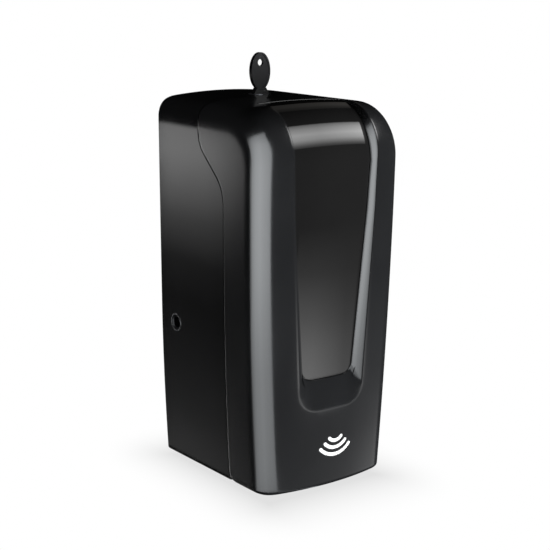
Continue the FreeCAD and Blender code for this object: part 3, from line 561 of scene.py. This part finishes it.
POCKET = pocket_rows()
FOOT = (0, 0.25, 0.6, 1.05, 1.6, 2.2, 3)        # heights that carry the rounding of the underside
# Stations of the cover's rows below the pocket and behind it.
BELOW = [z / BEND_START_Z for z in FOOT + (5, 7.5, 10.5, 14, 18, 23, 28, 33, 38, 43, 47, 50)]
BEHIND = spread(POCKET_END, 3, 9)[1:]
SIDE_COLUMNS = 12
MIDDLE_COLUMNS = 16


def cover_seam():
    """The cover's rear edge on its side, from the underside to the top corner."""
    end = corner_column(3)[-1]
    path = [(SEAM_LOW_Y - 2 * HINGE_R, 0, 0), (SEAM_LOW_Y, 0, HINGE_R),
            (SEAM_HIGH_Y, SEAM_BEND_Z, SEAM_BEND_R),
            (SEAM_TOP_Y, SEAM_CREST_Z, SEAM_CREST_R), (SEAM_TOP_Y, end.z, 0)]
    return rounded(path, 16)[1:]


def cover_shell():
    """The cover: front and top faces round the pocket, corners, sides and the pocket's walls."""
    bm = bmesh.new()
    flat_low = POCKET[0].start_half
    tail_half = POCKET[-1].start_half
    stations = [(s, flat_low) for s in BELOW]
    stations += [(row.start_station, row.start_half) for row in POCKET]
    stations += [(s, tail_half) for s in BEHIND]
    columns = [corner_column(s) for s, _ in stations]
    faces = []
    for (station, half), column in zip(stations, columns):
        xs = spread(half, column[0].x, SIDE_COLUMNS)
        faces.append([front_point(x, station) for x in xs])
    both_sides(bm, faces)
    both_sides(bm, columns)
    middles = [[front_point(x, s) for x in spread(-flat_low, flat_low, MIDDLE_COLUMNS)]
               for s in BELOW + [POCKET[0].start_station]]
    patch(bm, middles)
    middles = [[front_point(x, s) for x in spread(-tail_half, tail_half, 2 * MIDDLE_COLUMNS)]
               for s in [POCKET[-1].start_station] + BEHIND]
    patch(bm, middles)
    edge = [Vector((p[-1].y, p[-1].z)) for p in columns]
    seam = resample(cover_seam(), shares_of(edge))
    sides = []
    for front, rear in zip(edge, seam):
        sides.append([side_point(*front.lerp(rear, share)) for share in spread(0, 1, 12)])
    both_sides(bm, sides)
    both_sides(bm, [pocket_wall(1, row) for row in POCKET])
    patch(bm, [pocket_wall(share, POCKET[0]) for share in spread(-1, 1, MIDDLE_COLUMNS)])
    shell = round_base(finish_mesh(bm, "cover_shell", skin=True))
    thicken(shell, WALL)
    before = apply_modifiers(shell).data.copy()
    soften(shell, clamp=False)
    return keep_close(apply_modifiers(shell), before)


def window_normal(where):
    """Outward direction of the window at one of its places, on the centre line."""
    if "z" in where:
        return Vector((0, -math.cos(WINDOW_FACING), math.sin(WINDOW_FACING)))
    centre_y, centre_z = window_centre(0)
    here = window_point(0, share=where["share"])
    return Vector((0, here.y - centre_y, here.z - centre_z)).normalized()


def pane_sheet(name, spare, sunk, thickness):
    """A sheet that follows the pocket's floor, this much smaller than its outline and this deep."""
    bm = bmesh.new()
    rows = []
    for row in POCKET:
        where = dict(row.where)
        if "z" in where:
            where["z"] += spare * max(0.0, 1 - (where["z"] - FLOOR_LOW_Z) / FLOOR_CORNER_R)
        else:
            where["share"] = min(where["share"], 1 - spare / (WINDOW_R * WINDOW_ARC))
        half = row.inner - spare
        drop = window_normal(where) * -sunk
        rows.append([window_point(x, **where) + drop for x in spread(-half, half, 28)])
    patch(bm, rows, flip=True)
    sheet = finish_mesh(bm, name, skin=True)
    thicken(sheet, thickness)
    return sheet


def window_pane():
    """The smoked pane, on a wider rim that sits behind the pocket's edge and closes its gap."""
    pane = pane_sheet("window_pane", PANEL_GAP, PANEL_SUNK, PANEL_T)
    soften(pane, PANEL_EDGE)
    rim = pane_sheet("window_rim", -PANEL_RIM, PANEL_T, PANEL_RIM_T)
    return join(pane, [rim])


# ---- housing ----
def housing_seam():
    """The housing's front edge on its side, which follows the cover's seam at a gap."""
    gap_y = SEAM_TOP_Y + SEAM_GAP
    path = [(SEAM_LOW_Y + SEAM_GAP, 0, 0),
            (SEAM_HIGH_Y + SEAM_GAP, SEAM_BEND_Z - SEAM_GAP, SEAM_BEND_R),
            (gap_y, SEAM_CREST_Z - SEAM_GAP, SEAM_CREST_R), (gap_y, top_corner(gap_y)[-1].z, 0)]
    return rounded(path, 16)


def back_rows(heights):
    """Rows across the back, at these heights and then in the rounded top corners."""
    rows = []
    for z in heights:
        half = half_width(0, z)
        rows.append([Vector((x, 0, z)) for x in spread(-half, half, 40)])
    for point in reversed(top_corner(0)[:-1]):
        on_top = top_height(point.x, 0) - point.z < 0.01
        row = []
        for x in spread(-point.x, point.x, 40):
            crown = top_height(x, 0)
            row.append(Vector((x, 0, crown if on_top else min(point.z, crown))))
        rows.append(row)
    return rows


def housing_shell():
    """The housing: sides, top, underside and back, with the holes that go through them."""
    bm = bmesh.new()
    gap_y = SEAM_TOP_Y + SEAM_GAP
    path = housing_seam()
    shares = [z / running_lengths(path)[-1] for z in FOOT] + spread(0, 1, 80)[2:]
    seam = resample(path, shares)
    rear_top = top_corner(0)[-1].z
    rears = [Vector((0, rear_top * share)) for share in shares]
    sides = []
    for front, rear in zip(seam, rears):
        sides.append([side_point(*front.lerp(rear, share)) for share in spread(0, 1, 20)])
    both_sides(bm, sides, flip=True)
    places = spread(gap_y, 0, 20)
    both_sides(bm, [top_corner(y) for y in places], flip=True)
    tops = []
    for y in places:
        half = top_corner(y)[0].x
        tops.append([Vector((x, y, top_height(x, y))) for x in spread(-half, half, 40)])
    patch(bm, tops, flip=True)
    unders = []
    for y in spread(SEAM_LOW_Y + SEAM_GAP, 0, 20):
        half = half_width(y, 0)
        unders.append([Vector((x, y, 0)) for x in spread(-half, half, 40)])
    patch(bm, unders)
    patch(bm, back_rows([rear.y for rear in rears]))
    shell = round_base(finish_mesh(bm, "housing_shell", skin=True))
    thicken(shell, WALL)
    apply_modifiers(shell)
    cutters = [cylinder_cutter("y", (x, 0, z), SCREW_HOLE_R, -CUT_REACH, CUT_REACH)
               for x in (-SCREW_X, SCREW_X) for z in SCREW_Z]
    cutters.append(cylinder_cutter("z", (0, LOCK_Y, TOP_Z), LOCK_HOLE_R, -CUT_REACH, CUT_REACH))
    cutters.append(cylinder_cutter("x", (-REAR_HALF, JACK_Y, JACK_Z), JACK_R, -CUT_REACH, CUT_REACH))
    cut_holes(shell, cutters)
    soften(shell, HOLE_EDGE)
    return apply_modifiers(shell)


def sensor_icon():
    """Three printed arcs with round ends, one over the other, laid on the bowed front."""
    bm = bmesh.new()
    radius = ICON_STROKE / 2
    for arc in ICON_RADII:
        length = math.radians(2 * ICON_HALF_ANGLE) * arc
        places = [-radius * math.cos(t) for t in spread(0, math.pi / 2, 8)]
        places += spread(0, length, 24)[1:-1]
        places += [length + radius * math.sin(t) for t in spread(0, math.pi / 2, 8)]
        rows = []
        for along in places:
            over = max(-along, along - length, 0.0)
            half = math.sqrt(max(radius ** 2 - over ** 2, 0.0))
            turn = (along - length / 2) / arc
            row = []
            for off in spread(-half, half, 4):
                x = ICON_X + (arc + off) * math.sin(turn)
                z = ICON_Z - (arc + off) * math.cos(turn)
                row.append(front_point(x, z / BEND_START_Z) + Vector((0, -ICON_LIFT, 0)))
            rows.append(row)
        patch(bm, rows)
    icon = finish_mesh(bm, "sensor_symbol", weld=0.005, skin=True)
    thicken(icon, ICON_T)
    return apply_modifiers(icon)


cover = cover_shell()
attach(cover, "cover")
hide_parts("front_cover")
pane = window_pane()
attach(pane, "cover")
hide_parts("window_panel")
housing = housing_shell()
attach(housing, "housing")
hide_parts("rear_housing")
icon = sensor_icon()
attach(icon, "cover")
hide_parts("sensor_icon")


# ---- materials ----
def shade(name, colour, roughness, metallic=0.0, grain=0.0, grain_scale=900.0, tone=0.06,
          wear=0.04, transmission=0.0):
    """A moulded or turned finish: slow colour and gloss changes, and fine surface grain."""
    material = bpy.data.materials.new(name)
    material.use_nodes = True
    tree = material.node_tree
    shader = tree.nodes["Principled BSDF"]
    shader.inputs["Metallic"].default_value = metallic
    shader.inputs["Transmission Weight"].default_value = transmission
    place_at = tree.nodes.new("ShaderNodeTexCoord")
    broad = tree.nodes.new("ShaderNodeTexNoise")
    broad.inputs["Scale"].default_value = 28.0
    broad.inputs["Detail"].default_value = 5.0
    tree.links.new(place_at.outputs["Object"], broad.inputs["Vector"])
    ramp = tree.nodes.new("ShaderNodeValToRGB")
    ramp.color_ramp.elements[0].position = 0.3
    ramp.color_ramp.elements[1].position = 0.7
    ramp.color_ramp.elements[0].color = (*[c * (1 - tone) for c in colour], 1)
    ramp.color_ramp.elements[1].color = (*[min(c * (1 + tone), 1) for c in colour], 1)
    tree.links.new(broad.outputs["Fac"], ramp.inputs["Fac"])
    tree.links.new(ramp.outputs["Color"], shader.inputs["Base Color"])
    gloss = tree.nodes.new("ShaderNodeMapRange")
    gloss.inputs["From Min"].default_value = 0.3
    gloss.inputs["From Max"].default_value = 0.7
    gloss.inputs["To Min"].default_value = max(roughness - wear, 0.01)
    gloss.inputs["To Max"].default_value = roughness + wear
    tree.links.new(broad.outputs["Fac"], gloss.inputs["Value"])
    tree.links.new(gloss.outputs["Result"], shader.inputs["Roughness"])
    if grain:
        fine = tree.nodes.new("ShaderNodeTexNoise")
        fine.inputs["Scale"].default_value = grain_scale
        fine.inputs["Detail"].default_value = 3.0
        tree.links.new(place_at.outputs["Object"], fine.inputs["Vector"])
        bump = tree.nodes.new("ShaderNodeBump")
        bump.inputs["Strength"].default_value = grain
        bump.inputs["Distance"].default_value = 0.0002
        tree.links.new(fine.outputs["Fac"], bump.inputs["Height"])
        tree.links.new(bump.outputs["Normal"], shader.inputs["Normal"])
    return material


looks = {
    "cover": shade("cover", (0.0115, 0.0118, 0.0125), 0.165, wear=0.015, grain=0.012, grain_scale=1500),
    "housing": shade("housing", (0.0085, 0.0087, 0.0092), 0.10, wear=0.01, grain=0.008, grain_scale=1500),
    "window": shade("window", (0.0100, 0.0098, 0.0097), 0.035, wear=0.01, tone=0.05),
    "print": shade("print", (0.86, 0.86, 0.85), 0.45),
    "key": shade("key", (0.0045, 0.0045, 0.005), 0.3, grain=0.08),
    "frame": shade("frame", (0.17, 0.175, 0.18), 0.5, grain=0.3),
    "steel": shade("steel", (0.62, 0.62, 0.63), 0.28, metallic=1.0, grain=0.05),
    "ring": shade("ring", (0.72, 0.73, 0.75), 0.2, metallic=1.0, grain=0.03),
    "insert": shade("insert", (0.01, 0.01, 0.011), 0.35, grain=0.1),
    "lock": shade("lock", (0.045, 0.045, 0.05), 0.3, metallic=0.6, grain=0.05),
    "tray": shade("tray", (0.02, 0.02, 0.022), 0.45, grain=0.2),
    "tank": shade("tank", (0.86, 0.9, 0.93), 0.16, transmission=0.75, grain=0.08),
    "white": shade("white", (0.8, 0.8, 0.79), 0.38, grain=0.2),
    "rubber": shade("rubber", (0.03, 0.03, 0.032), 0.7, grain=0.3),
    "clear": shade("clear", (0.9, 0.93, 0.95), 0.08, transmission=0.9),
    "silicone": shade("silicone", (0.78, 0.8, 0.8), 0.4, transmission=0.35, grain=0.1),
    "brass": shade("brass", (0.72, 0.52, 0.22), 0.28, metallic=1.0, grain=0.05),
    "battery": shade("battery", (0.05, 0.09, 0.2), 0.3, grain=0.05),
    "board": shade("board", (0.02, 0.13, 0.06), 0.4, grain=0.2),
    "dark_lens": shade("dark_lens", (0.012, 0.006, 0.014), 0.06),
    "led": shade("led", (0.6, 0.03, 0.02), 0.1, transmission=0.4),
}
FINISHES = {
    "window_retainer": "tray", "hinge_pins": "steel", "cover_strike": "insert",
    "jack_ring": "ring", "dc_jack": "insert", "lock_barrel": "lock", "lock_cam": "steel",
    "lock_key": "key", "inner_frame": "frame", "sensor_tray": "tray", "frame_screws": "steel",
    "soap_tank": "tank", "tank_cap": "white", "cap_seal": "rubber", "outlet_socket": "frame",
    "pump_housing": "frame", "pump_lid": "clear", "pump_rotor": "white",
    "pump_roller_1": "white", "pump_roller_2": "white", "pump_roller_3": "white",
    "pump_tube": "silicone", "pump_gear": "white", "motor_pinion": "brass",
    "motor_shaft": "steel", "gearbox_plate": "frame", "motor": "steel", "pump_screws": "steel",
    "nozzle": "tray", "nozzle_valve": "silicone", "battery_box": "frame",
    "batteries": "battery", "battery_contacts": "steel", "contact_springs": "steel",
    "battery_door": "frame", "control_board": "board", "sensor_board": "board",
    "ir_emitter": "clear", "ir_receiver": "dark_lens", "sensor_lens": "dark_lens",
    "status_led": "led", "power_switch_body": "insert", "power_switch": "white",
    "dose_switch_body": "insert", "dose_switch": "white",
}


def paint(obj, look):
    """Gives a piece its finish, in place of any it has."""
    obj.data.materials.clear()
    obj.data.materials.append(looks[look])


for name, look in FINISHES.items():
    paint(nodes[name], look)
paint(cover, "cover")
paint(pane, "window")
paint(housing, "housing")
paint(icon, "print")


# ---- camera ----
# A long lens, a little above, from the front left.
AZIMUTH = math.radians(-36.23)
ELEVATION = math.radians(12.1)
LENS = 81.73
toward_eye = Vector((math.sin(AZIMUTH) * math.cos(ELEVATION),
                     -math.cos(AZIMUTH) * math.cos(ELEVATION), math.sin(ELEVATION)))
right = (-toward_eye).cross(Vector((0, 0, 1))).normalized()
up = right.cross(-toward_eye)
EYE = 36.64 * right + 123.73 * up + 967.8 * toward_eye
camera = bpy.data.objects.new("camera", bpy.data.cameras.new("camera"))
bpy.context.scene.collection.objects.link(camera)
camera.location = place(*EYE)
camera.rotation_mode = "QUATERNION"
camera.rotation_quaternion = (-toward_eye).to_track_quat("-Z", "Y")
camera.data.sensor_width = 36.0
camera.data.lens = LENS
camera.data.clip_start = 0.05
camera.data.clip_end = 50
bpy.context.scene.camera = camera


# ---- stage ----
FILL_AIM = (0, -60, 130)
FILL_DISTANCE = 1.5         # metres
CARD_STEPS = 24


def stage_object(name, mesh, material):
    """Part of the studio: it casts no shadow, and the plastic's diffuse light ignores it."""
    obj = bpy.data.objects.new(name, mesh)
    bpy.context.scene.collection.objects.link(obj)
    obj.data.materials.append(material)
    obj.visible_diffuse = False
    obj.visible_transmission = False
    obj.visible_shadow = False
    return obj


def mesh_from(bm, name):
    mesh = bpy.data.meshes.new(name)
    bm.to_mesh(mesh)
    bm.free()
    return mesh


def blank_material(name):
    """A material with nothing but an output: itself, its tree and the output's surface socket."""
    material = bpy.data.materials.new(name)
    material.use_nodes = True
    tree = material.node_tree
    tree.nodes.clear()
    output = tree.nodes.new("ShaderNodeOutputMaterial")
    return material, tree, output.inputs["Surface"]


def math_node(tree, operation, first, second=None, clamp=False):
    """Works on numbers or sockets, and gives the result's socket."""
    node = tree.nodes.new("ShaderNodeMath")
    node.operation = operation
    node.use_clamp = clamp
    for socket, value in zip(node.inputs, (first, second)):
        if isinstance(value, (int, float)):
            socket.default_value = value
        elif value is not None:
            tree.links.new(value, socket)
    return node.outputs["Value"]


def vector_node(tree, operation, first, second, output):
    node = tree.nodes.new("ShaderNodeVectorMath")
    node.operation = operation
    tree.links.new(first, node.inputs[0])
    tree.links.new(second, node.inputs[1])
    return node.outputs[output]


def smooth_step(tree, value, start, finish, before, after):
    """Goes smoothly from one level to another as the value runs from start to finish."""
    node = tree.nodes.new("ShaderNodeMapRange")
    node.interpolation_type = "SMOOTHSTEP"
    for name, number in (("From Min", start), ("From Max", finish), ("To Min", before), ("To Max", after)):
        node.inputs[name].default_value = number
    tree.links.new(value, node.inputs["Value"])
    return node.outputs["Result"]


def contact_shadow(low, high, fade, depth):
    """A clear sheet under the body, darkened a little where it comes near the body.

    It stands in for a floor and hides nothing, so the open cover shows below the underside.
    """
    bm = bmesh.new()
    bmesh.ops.create_grid(bm, x_segments=1, y_segments=1, size=0.4)
    material, tree, surface = blank_material("contact_shadow")
    where = tree.nodes.new("ShaderNodeTexCoord")
    split = tree.nodes.new("ShaderNodeSeparateXYZ")
    tree.links.new(where.outputs["Object"], split.inputs["Vector"])
    squares = []
    for axis in (0, 1):
        middle, half = (low[axis] + high[axis]) / 2000, (high[axis] - low[axis]) / 2000
        away = math_node(tree, "ABSOLUTE", math_node(tree, "SUBTRACT", split.outputs[axis], middle))
        beyond = math_node(tree, "MAXIMUM", math_node(tree, "SUBTRACT", away, half), 0.0)
        share = math_node(tree, "DIVIDE", beyond, fade[axis] / 1000)
        squares.append(math_node(tree, "MULTIPLY", share, share))
    distance = math_node(tree, "SQRT", math_node(tree, "ADD", *squares))
    near = math_node(tree, "SUBTRACT", 1.0, distance, clamp=True)
    strength = math_node(tree, "MULTIPLY", math_node(tree, "POWER", near, 2.0), depth)
    clear = tree.nodes.new("ShaderNodeBsdfTransparent")
    dark = tree.nodes.new("ShaderNodeEmission")
    dark.inputs["Color"].default_value = (0, 0, 0, 1)
    mix = tree.nodes.new("ShaderNodeMixShader")
    tree.links.new(strength, mix.inputs["Fac"])
    tree.links.new(clear.outputs["BSDF"], mix.inputs[1])
    tree.links.new(dark.outputs["Emission"], mix.inputs[2])
    tree.links.new(mix.outputs["Shader"], surface)
    sheet = stage_object("contact_shadow", mesh_from(bm, "contact_shadow"), material)
    sheet.location.z = UNDERSIDE - 0.0005
    sheet.visible_glossy = False
    return sheet


def fill(name, direction, width, height, energy, tint=(1, 1, 1)):
    """A soft box that stands in this direction from the body and faces it.

    It gives shape to the dark plastic; the cards below give the plastic its reflections.
    """
    data = bpy.data.lights.new(name, "AREA")
    data.energy = energy
    data.shape = "RECTANGLE"
    data.size, data.size_y = width, height
    data.color = tint
    obj = bpy.data.objects.new(name, data)
    toward = Vector(direction).normalized()
    obj.location = place(*FILL_AIM) + toward * FILL_DISTANCE
    obj.rotation_mode = "QUATERNION"
    obj.rotation_quaternion = toward.to_track_quat("Z", "Y")
    obj.visible_glossy = False
    bpy.context.scene.collection.objects.link(obj)
    return obj


def bounce(point, normal, distance):
    """Where a card stands to be seen by the camera in the surface at this point."""
    to_eye = (EYE - point).normalized()
    return point + (2 * normal.dot(to_eye) * normal - to_eye) * distance


def facing(surface, a, b, step=0.01):
    """Outward normal of a surface(a, b) of points."""
    along_a = surface(a + step, b) - surface(a - step, b)
    along_b = surface(a, b + step) - surface(a, b - step)
    normal = along_a.cross(along_b).normalized()
    return normal if normal.dot(EYE - surface(a, b)) > 0 else -normal


def card_mesh(name, surface, across, along, distance):
    """The sheet of a card; each vertex keeps the direction of the point that it lights, its aim."""
    bm = bmesh.new()
    layer = bm.loops.layers.uv.new("place")
    aim = bm.verts.layers.float_vector.new("aim")
    grid = []
    for b in spread(*along, CARD_STEPS):
        row = []
        for a in spread(*across, CARD_STEPS):
            point = surface(a, b)
            stand = bounce(point, facing(surface, a, b), distance)
            vert = bm.verts.new(place(*stand))
            vert[aim] = (point - stand).normalized()
            row.append(vert)
        grid.append(row)
    for j in range(CARD_STEPS):
        for i in range(CARD_STEPS):
            corners = ((i, j), (i + 1, j), (i + 1, j + 1), (i, j + 1))
            face = bm.faces.new([grid[v][u] for u, v in corners])
            for loop, (u, v) in zip(face.loops, corners):
                loop[layer].uv = (u / CARD_STEPS, v / CARD_STEPS)
    return mesh_from(bm, name)


def brightness_curve(tree, value, stops):
    """Brightness along a line, straight between its (place, brightness) stops."""
    curve = tree.nodes.new("ShaderNodeValToRGB")
    elements = curve.color_ramp.elements
    while len(elements) < len(stops):
        elements.new(0.5)
    for element, (position, _) in zip(elements, stops):
        element.position = position
    for element, (_, level) in zip(elements, stops):
        element.color = (level, level, level, 1)
    tree.links.new(value, curve.inputs["Fac"])
    return curve.outputs["Color"]


def card(name, surface, across, along, distance, strength, ramp_across, ramp_along,
         beam, tint=(1, 1, 1), louver=None):
    """A glowing studio card, shaped so that its reflection fills part of a surface.

    across and along are the ranges of the surface's two parameters; the ramps are
    (place, brightness) pairs over those ranges. The beam is (full, faint, share): like a grid
    on a soft box, it dims the card to that share between two angles off its aim, in degrees.
    A louver does the same on one side only, for what lies to the rear of the aim.
    """
    material, tree, output = blank_material(name)
    where = tree.nodes.new("ShaderNodeUVMap")
    where.uv_map = "place"
    split = tree.nodes.new("ShaderNodeSeparateXYZ")
    tree.links.new(where.outputs["UV"], split.inputs["Vector"])
    bright = math_node(tree, "MULTIPLY", brightness_curve(tree, split.outputs["X"], ramp_across),
                       brightness_curve(tree, split.outputs["Y"], ramp_along))
    bright = math_node(tree, "MULTIPLY", bright, strength)
    aim = tree.nodes.new("ShaderNodeAttribute")
    aim.attribute_name = "aim"
    seen_from = tree.nodes.new("ShaderNodeNewGeometry").outputs["Incoming"]
    full, faint, share = beam
    along_aim = vector_node(tree, "DOT_PRODUCT", aim.outputs["Vector"], seen_from, "Value")
    grid = smooth_step(tree, along_aim, math.cos(math.radians(faint)), math.cos(math.radians(full)),
                       share, 1.0)
    bright = math_node(tree, "MULTIPLY", bright, grid)
    if louver:
        full, faint, share = louver
        turned_away = vector_node(tree, "CROSS_PRODUCT", aim.outputs["Vector"], seen_from, "Vector")
        upright = tree.nodes.new("ShaderNodeSeparateXYZ")
        tree.links.new(turned_away, upright.inputs["Vector"])
        slats = smooth_step(tree, upright.outputs["Z"], math.sin(math.radians(full)),
                            math.sin(math.radians(faint)), 1.0, share)
        bright = math_node(tree, "MULTIPLY", bright, slats)
    glow = tree.nodes.new("ShaderNodeEmission")
    glow.inputs["Color"].default_value = (*tint, 1)
    tree.links.new(bright, glow.inputs["Strength"])
    tree.links.new(glow.outputs["Emission"], output)
    obj = stage_object(name, card_mesh(name, surface, across, along, distance), material)
    obj.visible_camera = False
    return obj


# The surfaces that the cards are reflected in, each a function of two parameters.
def left_side(y, z):
    return Vector((-half_width(y, z), y, z))


def left_corner(t, station):
    """The left front corner, t running 0 to 1 from the front to the side."""
    column = corner_column(station)
    place_at = min(max(t, 0.0), 0.9999) * (len(column) - 1)
    index = int(place_at)
    point = column[index].lerp(column[index + 1], place_at - index)
    return Vector((-point.x, point.y, point.z))


def left_band(t, station):
    """The left corner, as wide at each station as the long highlight is there.

    The highlight narrows or widens about t = still, and stays clear of the corner's flat end.
    """
    places = (-0.1, 0.25, 0.5, 0.7, 0.88, 1.0, 1.15, 1.45)
    widths = (1.08, 1.0, 0.98, 0.89, 0.89, 0.91, 0.84, 0.74)
    still = 0.33
    step = max(i for i, at in enumerate(places[:-1]) if at <= max(station, places[0]))
    share = (station - places[step]) / (places[step + 1] - places[step])
    width = widths[step] + (widths[step + 1] - widths[step]) * share
    return left_corner(max(still + (t - still) * width, 0.015), station)


def seam_rim(degrees, z):
    """The cover's rounded rear edge beside the seam, by how far it has turned to the rear."""
    y = SEAM_LOW_Y + (SEAM_HIGH_Y - SEAM_LOW_Y) * z / SEAM_BEND_Z
    turn = math.radians(degrees)
    return Vector((EDGE - half_width(y, z) - EDGE * math.cos(turn), y + EDGE * math.sin(turn), z))


def front_face(x, z):
    return Vector((x, -(front_depth(x) + LEAN * z), z))


def window_face(x, degrees):
    """The window round its bend, by the angle at which it faces up."""
    centre_y, centre_z = window_centre(x)
    angle = math.radians(degrees)
    return Vector((x, centre_y - WINDOW_R * math.cos(angle), centre_z + WINDOW_R * math.sin(angle)))


def window_flat(x, z):
    return window_point(x, z=z)


contact_shadow((-55, -130), (38, -12), (52, 67), 0.25)

# The backdrop is white to the camera alone, so it lights nothing.
world = bpy.data.worlds.new("studio")
world.use_nodes = True
sky = world.node_tree
background = sky.nodes["Background"]
background.inputs["Color"].default_value = (1, 1, 1, 1)
rays = sky.nodes.new("ShaderNodeLightPath")
sky.links.new(rays.outputs["Is Camera Ray"], background.inputs["Strength"])
bpy.context.scene.world = world
bpy.context.scene.view_settings.view_transform = "Standard"

fill("front_fill", (0.45, -0.9, -0.08), 0.9, 0.35, 46, (0.97, 0.985, 1.0))
fill("side_fill", (-0.97, 0.2, -0.03), 0.6, 0.35, 4)
fill("right_fill", (1.0, 0.02, 0.12), 0.7, 0.6, 26, (1.0, 0.99, 0.97))
fill("back_fill", (0.15, 1.0, 0.25), 0.8, 0.6, 30, (0.97, 0.98, 1.0))
fill("left_back_fill", (-0.55, 0.8, 0.5), 0.5, 0.5, 6)

# The left side: bright near its top, fading downward, with a faint sheen at its foot.
card("side_card", left_side, (8, -112), (-4, 246.5), 320, 1.6,
     [(0, 1), (0.6, 1), (0.9, 0.6), (1, 0.5)],
     [(0, 0.18), (0.17, 0.08), (0.34, 0.04), (0.5, 0.02), (0.62, 0.05), (0.74, 0.27),
      (0.82, 0.58), (0.92, 1), (1, 0.97)], (10, 24, 0.5))
# The long highlight on the left front corner.
card("corner_card", left_band, (0.02, 0.84), (-0.03, 1.42), 260, 8.4,
     [(0, 0.75), (0.2, 0.85), (0.45, 1), (0.7, 0.9), (0.88, 0.6), (1, 0.0)],
     [(0, 0.52), (0.15, 0.55), (0.3, 0.6), (0.5, 0.92), (0.68, 1), (0.9, 0.9), (1, 0.55)],
     (13, 22, 0.4), (0.94, 0.975, 1.0), louver=(2.5, 6.0, 0.2))
# The thin line along the cover's edge at the seam.
card("rim_card", seam_rim, (8, 18), (-40, 262), 300, 16.0,
     [(0, 0.7), (1, 1)], [(0, 1), (0.25, 0.5), (0.5, 0.2), (0.72, 0.15), (0.85, 0.6), (1, 0.4)],
     (3, 7, 0.0))
# The bright band across the window's bend, and the dull brown one above it.
card("band_card", window_face, (-32, 31.5), (14.6, 39.6), 140, 7.0,
     [(0, 1), (0.35, 0.86), (0.6, 0.93), (1, 0.97)],
     [(0, 0.05), (0.1, 0.2), (0.33, 0.8), (0.55, 1), (0.8, 0.65), (0.95, 0.35), (1, 0.1)],
     (10, 24, 0.3))
card("brown_card", window_face, (-33, 33), (60, 74), 500, 0.13,
     [(0, 1), (1, 1)], [(0, 0.4), (0.5, 1), (1, 0.7)], (12, 26, 0.6), (1, 0.95, 0.88))
# The glow at the window's foot, strongest on the left.
card("low_card", window_flat, (-27, 27), (77, 182), 330, 2.75,
     [(0, 1.05), (0.25, 0.92), (0.75, 0.36), (1, 0.25)],
     [(0, 1), (0.2, 0.8), (0.4, 0.5), (0.7, 0.15), (1, 0)], (12, 26, 0.4))
# The sheen low on the front, strongest on the right.
card("face_card", front_face, (-45, 58), (-30, 150), 600, 1.1,
     [(0, 0.15), (0.3, 0.3), (0.6, 0.5), (0.85, 1), (1, 1)],
     [(0, 1.3), (0.2, 0.9), (0.35, 0.45), (0.55, 0.15), (1, 0)], (12, 26, 0.5))
